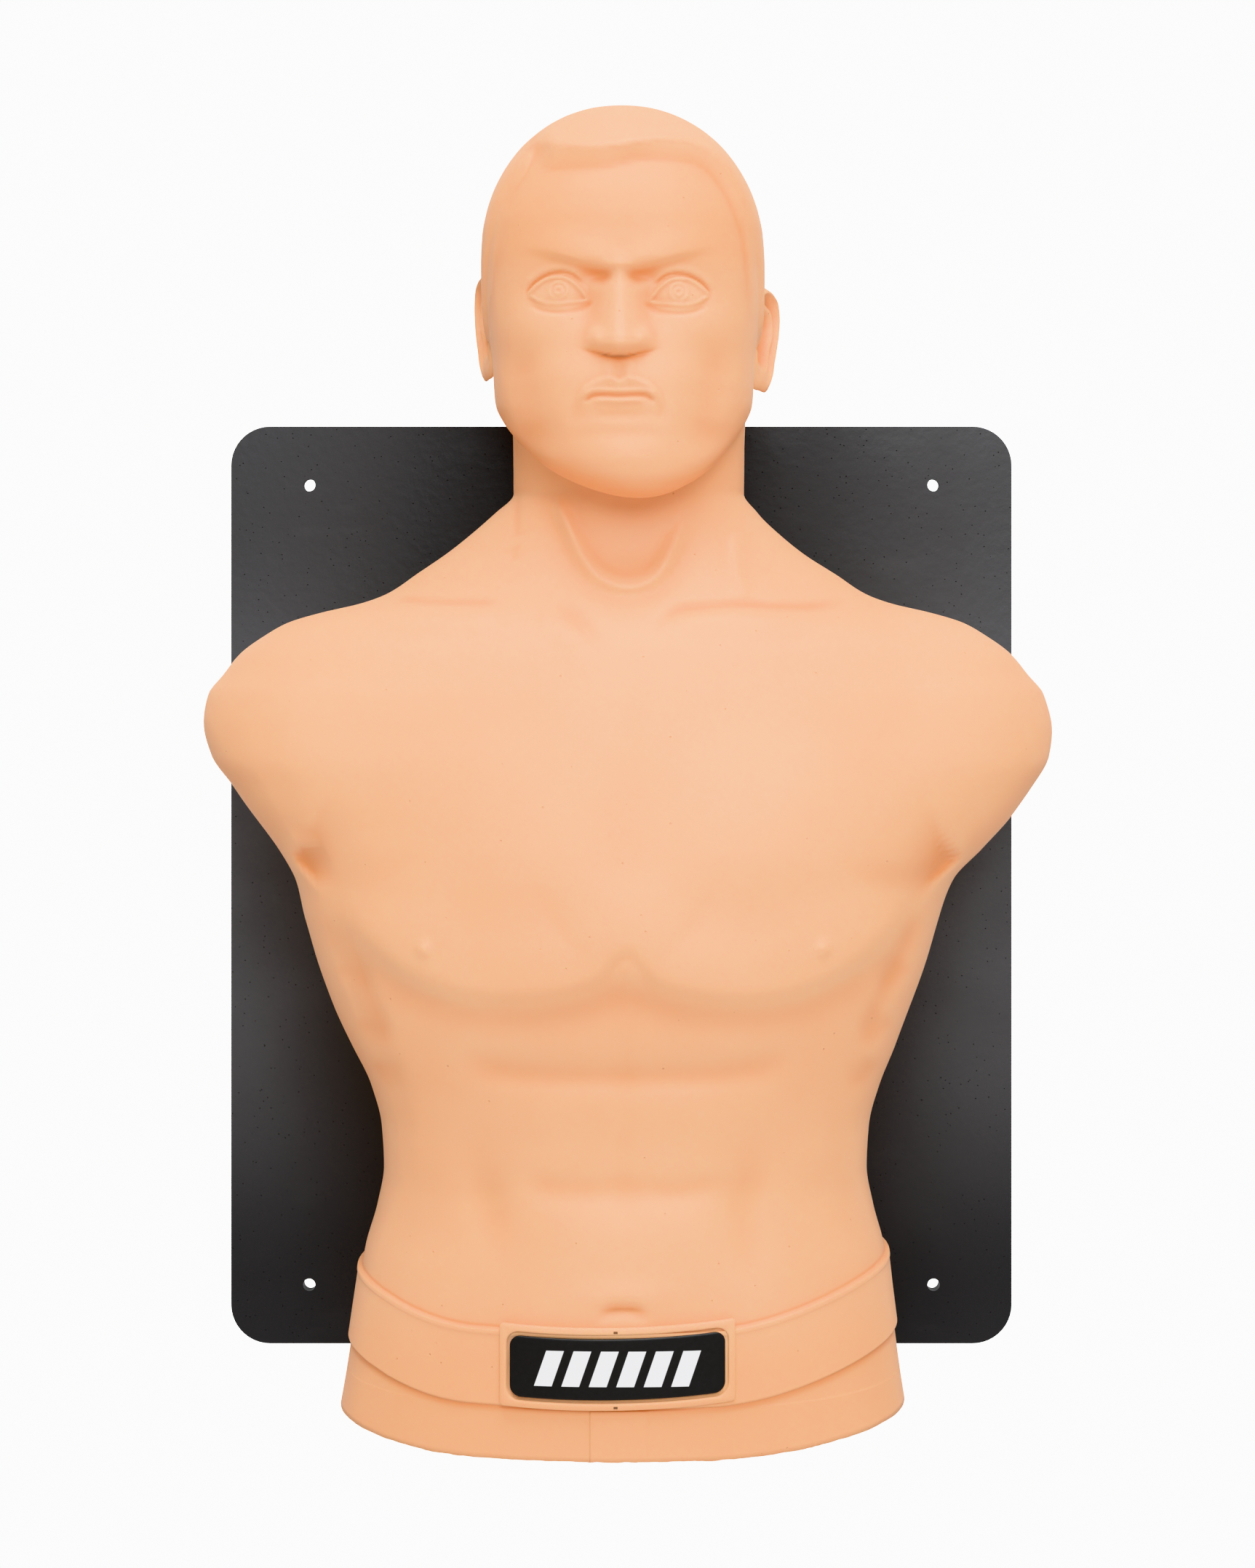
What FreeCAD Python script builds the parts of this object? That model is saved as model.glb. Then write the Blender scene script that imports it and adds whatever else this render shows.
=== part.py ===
"""Wall-mounted sparring mannequin: a foam-filled torso with a head, screwed to a flat wall board.

Frame: +Z up, the mannequin faces -Y, and y = 0 is the wall. The origin is the centre of the four wall
holes on the board's back face. Millimetres throughout.
"""

import FreeCAD, Part
import Sketcher
import math
import os

# ---------------------------------------------------------------------------------------------------
# Driving dimensions: alias, value in millimetres.
DIMENSIONS = [
    ("board_width", 508.0),
    ("board_height", 597.0),
    ("board_thick", 9.5),
    ("board_corner", 25.4),
    ("wall_hole_gap_x", 406.4),
    ("wall_hole_gap_z", 520.7),
    ("wall_hole_dia", 8.0),
    ("skin_thick", 5.0),
    ("panel_width", 150.0),
    ("panel_height", 370.0),
    ("panel_thick", 12.0),
    ("panel_centre_z", -85.0),
    ("screw_gap_x", 100.0),
    ("screw_gap_z", 145.0),
    ("screw_dia", 7.8),
    ("screw_length", 25.5),
    ("screw_head_dia", 15.8),
    ("screw_head_high", 4.0),
    ("screw_sink", 0.5),
    ("socket_across", 5.0),
    ("socket_deep", 3.0),
    ("screw_hole_dia", 8.5),
    ("nut_flange_dia", 22.0),
    ("nut_flange_thick", 1.6),
    ("nut_barrel_dia", 10.0),
    ("nut_barrel_long", 9.0),
    ("nut_thread_dia", 8.0),
    ("buckle_width", 133.0),
    ("buckle_height", 46.0),
    ("buckle_centre_z", -254.8),
    ("buckle_proud", 4.5),
    ("buckle_corner", 3.0),
    ("recess_width", 125.0),
    ("recess_height", 38.2),
    ("recess_corner", 7.0),
    ("recess_deep", 2.5),
    ("badge_width", 121.0),
    ("badge_height", 34.3),
    ("badge_corner", 6.0),
    ("badge_thick", 2.0),
    ("tape_thick", 0.8),
    ("tape_width", 113.0),
    ("tape_height", 26.7),
    ("tape_corner", 2.0),
    ("belt_top_z", -229.0),
    ("belt_bottom_z", -274.0),
    ("belt_proud", 2.5),
    ("hem_z", -305.0),
]
SCREW_ROWS = 3

# Horizontal sections of the body from the hem to the crown, in millimetres:
# height z, half width, then distances from the wall to the front, to the widest line and to the back
# (below 0 is behind the wall face, cut away later), and the squareness of the front half (2 is an
# ellipse, more is boxier).
SECTIONS = [
    (-305.0, 172.0, 236.0, 118.0, -8.0, 2.30),
    (-280.0, 168.5, 236.0, 118.0, -8.0, 2.30),
    (-228.0, 162.0, 233.0, 117.0, -8.0, 2.30),
    (-190.0, 153.0, 228.0, 115.0, -8.0, 2.30),
    (-155.0, 147.5, 226.0, 114.0, -8.0, 2.35),
    (-120.0, 151.5, 228.0, 114.0, -8.0, 2.40),
    (-75.0, 170.0, 235.0, 115.0, -8.0, 2.40),
    (-30.0, 187.0, 243.0, 116.0, -8.0, 2.40),
    (10.0, 199.0, 247.0, 116.0, -8.0, 2.30),
    (40.0, 220.0, 245.0, 116.0, -8.0, 2.20),
    (72.0, 245.0, 241.0, 115.0, -8.0, 2.10),
    (105.0, 257.5, 234.0, 113.0, -6.0, 2.05),
    (135.0, 249.0, 224.0, 110.0, -2.0, 2.05),
    (157.0, 229.0, 212.0, 105.0, 4.0, 2.05),
    (172.0, 200.0, 199.0, 98.0, 16.0, 2.05),
    (182.0, 163.0, 186.0, 92.0, 24.0, 2.10),
    (195.0, 137.0, 172.0, 88.0, 32.0, 2.10),
    (213.0, 110.5, 164.0, 86.0, 40.0, 2.10),
    (232.0, 86.0, 164.0, 90.0, 46.0, 2.10),
    (246.0, 74.5, 176.0, 98.0, 47.0, 2.10),
    (258.0, 71.5, 203.0, 106.0, 45.0, 2.10),
    (276.0, 73.0, 212.0, 110.0, 41.0, 2.20),
    (300.0, 80.0, 213.0, 110.0, 34.0, 2.30),
    (330.0, 85.5, 212.0, 108.0, 25.0, 2.40),
    (370.0, 87.0, 211.0, 108.0, 16.0, 2.40),
    (405.0, 86.5, 211.0, 108.0, 12.0, 2.30),
    (432.0, 80.5, 205.0, 107.0, 17.0, 2.20),
    (455.0, 67.5, 191.0, 107.0, 30.0, 2.10),
    (471.0, 51.0, 171.0, 108.0, 47.0, 2.00),
    (481.0, 31.0, 146.0, 109.0, 74.0, 2.00),
    (485.5, 9.0, 120.0, 110.0, 100.0, 2.00),
]
BACK_SQUARENESS = 2.6
POINTS_ROUND = 48
ROWS = 72
BELOW_HEM = 10.0

# The head's rounded features: centre, half sizes, lean about X and turn about Z in degrees.
HEAD_EGGS = {
    "ear_left": ((85.0, -101.0, 347.0), (6.5, 19.0, 33.5), -4.0, 24.0),
    "ear_right": ((-85.0, -101.0, 347.0), (6.5, 19.0, 33.5), -4.0, -24.0),
    "nose": ((0.0, -203.0, 345.0), (17.0, 24.0, 26.0), 24.0, 0.0),
}

doc = FreeCAD.newDocument("wall_mannequin")
sheet = doc.addObject("Spreadsheet::Sheet", "dims")
for row, (alias, value) in enumerate(DIMENSIONS, start=1):
    sheet.set(f"A{row}", alias)
    sheet.set(f"B{row}", str(value))
    sheet.setAlias(f"B{row}", alias)
doc.recompute()


def dim(alias):
    """The value of one cell of the sheet."""
    return float(sheet.get(alias))


def bind(thing, **expressions):
    """Binds properties of an object to the sheet; __ in a name stands for a dot."""
    for name, text in expressions.items():
        thing.setExpression(name.replace("__", "."), text)


def body_with_sketch(label, plane_role):
    """A PartDesign body with one sketch on one of its own origin planes."""
    body = doc.addObject("PartDesign::Body", label)
    body.Label = label
    plane = next(f for f in body.Origin.OriginFeatures if f.Role == plane_role)
    sketch = body.newObject("Sketcher::SketchObject", label + "_sketch")
    sketch.AttachmentSupport = [(plane, "")]
    sketch.MapMode = "FlatFace"
    return body, sketch


def rounded_rectangle(sketch, centre_z, width, height, corner, name):
    """Adds a rounded rectangle, centred on x = 0, and binds its size to three sheet aliases. Its
    place along z is the constraint NAME_top_z, which the caller binds."""
    half_w, half_h, r = dim(width) / 2, dim(height) / 2, dim(corner)
    first = sketch.GeometryCount
    corners = [(1, 1, 0), (-1, 1, 90), (-1, -1, 180), (1, -1, 270)]
    for sx, sz, start in corners:
        centre = FreeCAD.Vector(sx * (half_w - r), centre_z + sz * (half_h - r), 0)
        circle = Part.Circle(centre, FreeCAD.Vector(0, 0, 1), r)
        arc = Part.ArcOfCircle(circle, math.radians(start), math.radians(start + 90))
        sketch.addGeometry(arc, False)
    for i in range(4):
        here, there = first + i, first + (i + 1) % 4
        ends = sketch.getPoint(here, 2), sketch.getPoint(there, 1)
        line = sketch.addGeometry(Part.LineSegment(*ends), False)
        sketch.addConstraint(Sketcher.Constraint("Tangent", here, 2, line, 1))
        sketch.addConstraint(Sketcher.Constraint("Tangent", line, 2, there, 1))
    for i in range(1, 4):
        sketch.addConstraint(Sketcher.Constraint("Equal", first, first + i))
    sketch.addConstraint(Sketcher.Constraint("Horizontal", first + 4))
    sketch.addConstraint(Sketcher.Constraint("Vertical", first + 5))
    x, z = half_w - r, half_h - r
    sizes = [
        ("corner", ("Radius", first, r), f"dims.{corner}"),
        ("wide", ("DistanceX", first + 1, 3, first, 3, 2 * x), f"dims.{width} - 2 * dims.{corner}"),
        ("high", ("DistanceY", first + 3, 3, first, 3, 2 * z), f"dims.{height} - 2 * dims.{corner}"),
        ("half_x", ("DistanceX", -1, 1, first, 3, x), f"dims.{width} / 2 - dims.{corner}"),
        ("top_z", ("DistanceY", -1, 1, first, 3, centre_z + z), None),
    ]
    for suffix, facts, text in sizes:
        sketch.addConstraint(Sketcher.Constraint(*facts))
        sketch.renameConstraint(sketch.ConstraintCount - 1, f"{name}_{suffix}")
        if text:
            sketch.setExpression(f"Constraints.{name}_{suffix}", text)


def pad_forward(body, sketch, length, name):
    """Pads a sketch from the XZ plane towards -Y, the side that the mannequin faces."""
    pad = body.newObject("PartDesign::Pad", name)
    pad.Profile = sketch
    bind(pad, Length=length)
    doc.recompute()
    if pad.Shape.BoundBox.YMax > 1e-6:
        pad.Reversed = True
        doc.recompute()
    return pad


def screw_places():
    """(x expression, z expression) of each torso screw: two columns, three rows."""
    places = []
    for column in (-1, 1):
        for line in range(SCREW_ROWS):
            level = line - (SCREW_ROWS - 1) / 2
            x_text = f"{column} * dims.screw_gap_x / 2"
            z_text = f"dims.panel_centre_z + ({level}) * dims.screw_gap_z"
            places.append((x_text, z_text))
    return places


TO_FRONT = FreeCAD.Rotation(FreeCAD.Vector(1, 0, 0), 90)


def round_bar(name, radius, height, x, y, z):
    """A cylinder along -Y, from y forwards. Every argument but the name is an expression."""
    bar = doc.addObject("Part::Cylinder", name)
    bar.Placement = FreeCAD.Placement(FreeCAD.Vector(), TO_FRONT)
    bind(bar, Radius=radius, Height=height)
    bind(bar, Placement__Base__x=x, Placement__Base__y=y, Placement__Base__z=z)
    return bar


def cone_bar(name, radius_1, radius_2, height, x, y, z):
    """A cone along -Y, from y forwards."""
    cone = doc.addObject("Part::Cone", name)
    cone.Placement = FreeCAD.Placement(FreeCAD.Vector(), TO_FRONT)
    bind(cone, Radius1=radius_1, Radius2=radius_2, Height=height)
    bind(cone, Placement__Base__x=x, Placement__Base__y=y, Placement__Base__z=z)
    return cone


def box(name, x, y, z, length, width, height):
    """A box whose lowest corner and sizes are expressions."""
    block = doc.addObject("Part::Box", name)
    bind(block, Length=length, Width=width, Height=height)
    bind(block, Placement__Base__x=x, Placement__Base__y=y, Placement__Base__z=z)
    return block


def joined(name, things):
    """One fusion of several objects."""
    fuse = doc.addObject("Part::MultiFuse", name)
    fuse.Shapes = things
    return fuse


def cut(name, base, tool):
    """base with tool taken away."""
    made = doc.addObject("Part::Cut", name)
    made.Base = base
    made.Tool = tool
    return made


def common(name, base, tool):
    """What base and tool share."""
    made = doc.addObject("Part::Common", name)
    made.Base = base
    made.Tool = tool
    return made


def together(name, things):
    """A compound: separate solids in one sub-part."""
    group = doc.addObject("Part::Compound", name)
    group.Links = things
    group.Label = name
    return group


# ---------------------------------------------------------------------------------------------------
# Wall board: a rounded sheet with four wall holes and six countersunk holes for the torso's screws.


def make_back_board():
    body, outline = body_with_sketch("back_board", "XZ_Plane")
    rounded_rectangle(outline, 0.0, "board_width", "board_height", "board_corner", "board")
    outline.setExpression("Constraints.board_top_z", "dims.board_height / 2 - dims.board_corner")
    pad_forward(body, outline, "dims.board_thick", "board_sheet")

    plane = next(f for f in body.Origin.OriginFeatures if f.Role == "XZ_Plane")
    points = body.newObject("Sketcher::SketchObject", "wall_hole_sketch")
    points.AttachmentSupport = [(plane, "")]
    points.MapMode = "FlatFace"
    centre = FreeCAD.Vector(-dim("wall_hole_gap_x") / 2, -dim("wall_hole_gap_z") / 2, 0)
    points.addGeometry(Part.Circle(centre, FreeCAD.Vector(0, 0, 1), dim("wall_hole_dia") / 2), False)
    facts = [
        ("Diameter", (0, dim("wall_hole_dia")), "hole_dia", "dims.wall_hole_dia"),
        ("DistanceX", (0, 3, -1, 1, dim("wall_hole_gap_x") / 2), "hole_x", "dims.wall_hole_gap_x / 2"),
        ("DistanceY", (0, 3, -1, 1, dim("wall_hole_gap_z") / 2), "hole_z", "dims.wall_hole_gap_z / 2"),
    ]
    for kind, values, name, text in facts:
        index = points.addConstraint(Sketcher.Constraint(kind, *values))
        points.renameConstraint(index, name)
        points.setExpression("Constraints." + name, text)
    whole = body.Shape.Volume
    pocket = body.newObject("PartDesign::Pocket", "wall_hole")
    pocket.Profile = points
    pocket.Type = "ThroughAll"
    pocket.Midplane = True
    doc.recompute()
    if body.Shape.Volume > whole - 1:
        raise RuntimeError("the wall hole cut nothing")
    grid = body.newObject("PartDesign::MultiTransform", "wall_hole_grid")
    across = doc.addObject("PartDesign::LinearPattern", "holes_across")
    across.Direction = (points, ["H_Axis"])
    across.Occurrences = 2
    upwards = doc.addObject("PartDesign::LinearPattern", "holes_up")
    upwards.Direction = (points, ["V_Axis"])
    upwards.Occurrences = 2
    bind(across, Length="dims.wall_hole_gap_x")
    bind(upwards, Length="dims.wall_hole_gap_z")
    body.addObject(across)
    body.addObject(upwards)
    grid.Originals = [pocket]
    grid.Transformations = [across, upwards]
    body.Tip = grid
    doc.recompute()

    tools = []
    for i, (x, z) in enumerate(screw_places()):
        hole = round_bar(f"board_hole_{i}", "dims.screw_hole_dia / 2", "dims.board_thick", x, "0", z)
        sink = cone_bar(
            f"board_sink_{i}",
            "dims.screw_head_dia / 2 + dims.screw_sink",
            "dims.screw_hole_dia / 2 - 0.1",
            "dims.screw_head_dia / 2 + dims.screw_sink - dims.screw_hole_dia / 2 + 0.1",
            x,
            "0",
            z,
        )
        tools += [hole, sink]
    board = cut("board_drilled", body, joined("board_drills", tools))
    board.Label = "back_board"
    body.Label = "board_blank"
    return board


# ---------------------------------------------------------------------------------------------------
# The torso's free-form shape: one smooth surface over a grid of points, rows from the hem to the crown.


def monotone_slopes(places, values):
    """Slopes at the given places that make a cubic through the values without overshoot."""
    steps = [(values[i + 1] - values[i]) / (places[i + 1] - places[i]) for i in range(len(values) - 1)]
    slopes = [steps[0]]
    for before, after in zip(steps, steps[1:]):
        slopes.append(0.0 if before * after <= 0 else 2 * before * after / (before + after))
    return slopes + [steps[-1]]


def smooth_sections():
    """The sections, resampled at even steps along the side outline."""
    places = [0.0]
    for low, high in zip(SECTIONS, SECTIONS[1:]):
        places.append(places[-1] + math.dist(low[:3], high[:3]))
    columns = []
    for column in zip(*SECTIONS):
        slopes = monotone_slopes(places, column)
        columns.append((column, slopes))
    rows = []
    for n in range(ROWS):
        place = places[-1] * n / (ROWS - 1)
        i = max(k for k in range(len(places) - 1) if places[k] <= place)
        gap = places[i + 1] - places[i]
        t = (place - places[i]) / gap
        row = []
        for values, slopes in columns:
            row.append(
                values[i] * (1 + 2 * t) * (1 - t) ** 2
                + slopes[i] * gap * t * (1 - t) ** 2
                + values[i + 1] * t * t * (3 - 2 * t)
                + slopes[i + 1] * gap * t * t * (t - 1)
            )
        rows.append(row)
    return rows


def section_points(section):
    """The points round one section: a squared ellipse, boxier at the back."""
    z, half_width, front, middle, back, squareness = section
    points = []
    for i in range(POINTS_ROUND):
        turn = 2 * math.pi * i / POINTS_ROUND
        c, s = math.cos(turn), math.sin(turn)
        blend = (1 + s) / 2
        power = 2 / (squareness * (1 - blend) + BACK_SQUARENESS * blend)
        x = math.copysign(abs(c) ** power, c) * half_width
        reach = front - middle if s < 0 else middle - back
        y = math.copysign(abs(s) ** power, s) * reach - middle
        points.append(FreeCAD.Vector(x, y, z))
    return points


def outward_normals(grid):
    """The outward direction at every point of the grid."""
    normals = []
    for j, row in enumerate(grid):
        lower, upper = grid[max(j - 1, 0)], grid[min(j + 1, len(grid) - 1)]
        line = []
        for i in range(len(row)):
            along = row[(i + 1) % len(row)] - row[i - 1]
            up = upper[i] - lower[i]
            normal = along.cross(up)
            if j in (0, len(grid) - 1):
                normal.z = 0
            line.append(normal.normalize())
        normals.append(line)
    return normals


BODY_GRID = [section_points(section) for section in smooth_sections()]
BODY_NORMALS = outward_normals(BODY_GRID)


def body_form(grow, top_z=None):
    """The body pushed outwards by grow, closed flat below the hem and at its top."""
    rows = []
    for points, normals in zip(BODY_GRID, BODY_NORMALS):
        if top_z is None or points[0].z < top_z:
            rows.append([p + n * grow for p, n in zip(points, normals)])
    rows[-1] = [FreeCAD.Vector(p.x, p.y, min(q.z for q in rows[-1])) for p in rows[-1]]
    rows.insert(0, [FreeCAD.Vector(p.x, p.y, p.z - BELOW_HEM) for p in rows[0]])
    across, along = len(rows[0]), len(rows)
    surface = Part.BSplineSurface()
    surface.buildFromPolesMultsKnots(
        rows,
        [4] + [1] * (along - 4) + [4],
        [1] * (across + 1),
        list(range(along - 2)),
        list(range(across + 1)),
        False,
        True,
        3,
        3,
    )
    side = surface.toShape()
    faces = [side]
    for z in (rows[0][0].z, rows[-1][0].z):
        rim = [edge for edge in side.Edges if edge.BoundBox.ZMax - 1e-4 < z < edge.BoundBox.ZMin + 1e-4]
        faces.append(Part.Face(Part.Wire(rim)))
    shell = Part.makeShell(faces)
    shell.sewShape()
    solid = Part.Solid(Part.Shell(shell.Faces))
    if solid.Volume < 0:
        solid.reverse()
    return solid


def form_feature(name, shape):
    """A free-form shape kept as an object of the document."""
    feature = doc.addObject("Part::Feature", name)
    feature.Shape = shape
    return feature


def egg(centre, half_sizes, lean_deg=0.0, turn_deg=0.0):
    """An ellipsoid that leans about X, then turns about Z."""
    ball = Part.makeSphere(1.0)
    stretch = FreeCAD.Matrix()
    stretch.scale(FreeCAD.Vector(*half_sizes))
    shape = ball.transformGeometry(stretch)
    shape.rotate(FreeCAD.Vector(), FreeCAD.Vector(1, 0, 0), lean_deg)
    shape.rotate(FreeCAD.Vector(), FreeCAD.Vector(0, 0, 1), turn_deg)
    shape.translate(FreeCAD.Vector(*centre))
    return shape


def front_block(name, width, height, corner):
    """A rounded block centred on the buckle, from the middle of the body out past its front."""
    body, sketch = body_with_sketch(name, "XZ_Plane")
    rounded_rectangle(sketch, dim("buckle_centre_z"), width, height, corner, "edge")
    bind(sketch, Constraints__edge_top_z=f"dims.buckle_centre_z + dims.{height} / 2 - dims.{corner}")
    pad_forward(body, sketch, "300", name + "_pad")
    front_half = box(name + "_front_half", "-350", "-400", "-400", "700", "280", "1000")
    return common(name + "_front", body, front_half)


# ---------------------------------------------------------------------------------------------------
# The skin, the foam in it, and the fixings buried in the foam.


def make_fixings():
    """The plywood panel in the foam, its six T-nuts and the six board screws."""
    panel_sheet = box(
        "panel_sheet",
        "-dims.panel_width / 2",
        "-dims.board_thick - dims.skin_thick - dims.panel_thick",
        "dims.panel_centre_z - dims.panel_height / 2",
        "dims.panel_width",
        "dims.panel_thick",
        "dims.panel_height",
    )
    panel_back = "-dims.board_thick - dims.skin_thick"
    panel_front = panel_back + " - dims.panel_thick"
    barrel_drills, skin_drills, nuts, nut_spaces, screws = [], [], [], [], []
    for i, (x, z) in enumerate(screw_places()):
        barrel_end = panel_front + " + dims.nut_barrel_long"
        barrel_drills.append(
            round_bar(f"panel_hole_{i}", "dims.nut_barrel_dia / 2", "dims.panel_thick", x, panel_back, z)
        )
        skin_drills.append(
            round_bar(
                f"skin_hole_{i}", "dims.screw_hole_dia / 2", "dims.skin_thick + 1", x, panel_back + " + 1", z
            )
        )
        flange = round_bar(
            f"nut_flange_{i}", "dims.nut_flange_dia / 2", "dims.nut_flange_thick", x, panel_front, z
        )
        barrel = round_bar(
            f"nut_barrel_{i}", "dims.nut_barrel_dia / 2", "dims.nut_barrel_long", x, barrel_end, z
        )
        thread = round_bar(
            f"nut_thread_{i}",
            "dims.nut_thread_dia / 2",
            "dims.nut_barrel_long + dims.nut_flange_thick",
            x,
            barrel_end,
            z,
        )
        nut_spaces.append(flange)
        nuts.append(cut(f"t_nut_{i}", joined(f"nut_blank_{i}", [flange, barrel]), thread))
        shank = round_bar(
            f"screw_shank_{i}", "dims.screw_dia / 2", "dims.screw_length", x, "-dims.screw_sink", z
        )
        head_cone = cone_bar(
            f"screw_head_{i}",
            "dims.screw_head_dia / 2",
            "dims.screw_dia / 2",
            "(dims.screw_head_dia - dims.screw_dia) / 2",
            x,
            "-dims.screw_sink",
            z,
        )
        socket = doc.addObject("Part::Prism", f"screw_socket_{i}")
        socket.Polygon = 6
        socket.Placement = FreeCAD.Placement(FreeCAD.Vector(), TO_FRONT)
        bind(
            socket,
            Circumradius="dims.socket_across / sqrt(3)",
            Height="dims.socket_deep",
            Placement__Base__x=x,
            Placement__Base__y="-dims.screw_sink",
            Placement__Base__z=z,
        )
        screws.append(cut(f"screw_{i}", joined(f"screw_blank_{i}", [shank, head_cone]), socket))
    panel = cut("anchor_panel", panel_sheet, joined("panel_drills", barrel_drills))
    nuts, screws = together("t_nuts", nuts), together("board_screws", screws)
    return panel, panel_sheet, nuts, nut_spaces, screws, skin_drills


def make_torso(panel_sheet, nut_spaces, skin_drills):
    """The hollow skin with its belt and buckle, and the foam that fills it."""
    buckle_top = dim("buckle_centre_z") + 80
    recess_grow = dim("buckle_proud") - dim("recess_deep")
    outer = form_feature("outer_form", body_form(0.0))
    inner = form_feature("inner_form", body_form(-dim("skin_thick")))
    belt_form = form_feature("belt_form", body_form(dim("belt_proud"), buckle_top))
    buckle_form = form_feature("buckle_form", body_form(dim("buckle_proud"), buckle_top))
    floor_form = form_feature("recess_floor_form", body_form(recess_grow, buckle_top))

    belt_slab = box(
        "belt_slab", "-350", "-500", "dims.belt_bottom_z",
        "700", "600", "dims.belt_top_z - dims.belt_bottom_z",
    )
    buckle_block = front_block("buckle_block", "buckle_width", "buckle_height", "buckle_corner")
    recess_block = front_block("recess_block", "recess_width", "recess_height", "recess_corner")
    raised = [common("belt_band", belt_form, belt_slab), common("buckle_plate", buckle_form, buckle_block)]
    features = [form_feature(name, egg(*values)) for name, values in HEAD_EGGS.items()]
    whole = joined("body_with_belt", [outer] + features + raised)
    recessed = cut("body_with_recess", whole, cut("recess_air", recess_block, floor_form))

    in_front_of_board = box(
        "in_front_of_board", "-350", "-dims.board_thick - 700", "dims.hem_z", "700", "700", "900"
    )
    in_front_of_back_wall = box(
        "in_front_of_back_wall",
        "-350",
        "-dims.board_thick - dims.skin_thick - 700",
        "dims.hem_z - 1",
        "700",
        "700",
        "900",
    )
    solid_body = common("solid_body", recessed, in_front_of_board)
    filling = common("filling", inner, in_front_of_back_wall)
    skin = cut("torso_skin", solid_body, joined("skin_cuts", [filling] + skin_drills))
    above_hem = common("filling_above_hem", filling, in_front_of_board)
    foam = cut("foam_core", above_hem, joined("foam_cuts", [panel_sheet] + nut_spaces))
    return skin, foam, floor_form


def make_badge(floor_form):
    """The plate in the buckle and the tape behind it, both curved like the body."""
    buckle_top = dim("buckle_centre_z") + 80
    recess_grow = dim("buckle_proud") - dim("recess_deep")
    tape_grow = recess_grow + dim("tape_thick")
    tape_form = form_feature("tape_form", body_form(tape_grow, buckle_top))
    badge_form = form_feature("badge_form", body_form(tape_grow + dim("badge_thick"), buckle_top))
    tape_block = front_block("tape_block", "tape_width", "tape_height", "tape_corner")
    badge_block = front_block("badge_block", "badge_width", "badge_height", "badge_corner")
    tape = cut("badge_adhesive", common("tape_slab", tape_form, tape_block), floor_form)
    badge = cut("belt_badge", common("badge_slab", badge_form, badge_block), tape_form)
    return badge, tape


board = make_back_board()
panel, panel_sheet, nuts, nut_spaces, screws, skin_drills = make_fixings()
skin, foam, floor_form = make_torso(panel_sheet, nut_spaces, skin_drills)
badge, tape = make_badge(floor_form)
doc.recompute()

NODES = {
    "back_board": board,
    "torso_skin": skin,
    "foam_core": foam,
    "anchor_panel": panel,
    "t_nuts": nuts,
    "board_screws": screws,
    "belt_badge": badge,
    "badge_adhesive": tape,
}

for thing in doc.Objects:
    if "Invalid" in thing.State or "Error" in thing.State:
        raise RuntimeError(f"{thing.Name} did not compute: {thing.State}")

os.makedirs("parts", exist_ok=True)
for node, thing in NODES.items():
    shape = thing.Shape
    if shape.isNull() or not shape.isValid() or not shape.Solids:
        raise RuntimeError(f"{node} has no valid solid")
    thing.Label = node
    shape.exportStep(f"parts/{node}.step")
    size = shape.BoundBox
    print(f"{node}: {len(shape.Solids)} solids, {shape.Volume / 1000:.1f} cm3, "
          f"{size.XLength:.1f} x {size.YLength:.1f} x {size.ZLength:.1f} mm")
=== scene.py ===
"""Looks of the wall-mounted sparring mannequin. Shapes are worked out in millimetres in the CAD frame
(+Z up, the mannequin faces -Y, the wall is y = 0) and written to the meshes in metres."""

import math

import bpy
import numpy as np
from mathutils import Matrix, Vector


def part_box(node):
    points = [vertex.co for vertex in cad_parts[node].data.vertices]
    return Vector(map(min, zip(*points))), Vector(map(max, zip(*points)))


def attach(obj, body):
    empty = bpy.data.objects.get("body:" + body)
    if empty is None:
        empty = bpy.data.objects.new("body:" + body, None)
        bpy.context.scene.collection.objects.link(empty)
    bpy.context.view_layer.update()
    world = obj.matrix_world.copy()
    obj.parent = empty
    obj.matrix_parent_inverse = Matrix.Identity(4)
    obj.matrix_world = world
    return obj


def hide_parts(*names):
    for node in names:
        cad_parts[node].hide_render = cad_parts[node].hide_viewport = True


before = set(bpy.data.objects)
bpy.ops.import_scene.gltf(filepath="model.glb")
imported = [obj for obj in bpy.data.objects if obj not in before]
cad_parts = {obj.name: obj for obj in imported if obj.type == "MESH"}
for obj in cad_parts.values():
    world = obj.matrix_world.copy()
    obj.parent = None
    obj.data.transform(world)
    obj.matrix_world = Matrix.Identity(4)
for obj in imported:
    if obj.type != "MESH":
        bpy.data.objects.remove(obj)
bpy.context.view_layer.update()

MM = 0.001


def cad_box(node):
    """Lowest and highest corner of a CAD node, in millimetres."""
    low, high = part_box(node)
    return np.array(low) / MM, np.array(high) / MM


BOARD_LOW, _ = cad_box("back_board")
SKIN_LOW, _ = cad_box("torso_skin")
BADGE_LOW, BADGE_HIGH = cad_box("belt_badge")

# The hem hangs a little lower than its level CAD stand-in, and the back stays just clear of the board.
HEM_Z = SKIN_LOW[2] - 4.0
BACK_Y = BOARD_LOW[1] - 0.1
BUCKLE_Z = (BADGE_LOW[2] + BADGE_HIGH[2]) / 2
SKIN_THICK = 5.0

# --------------------
# Smooth curves and blends


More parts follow.
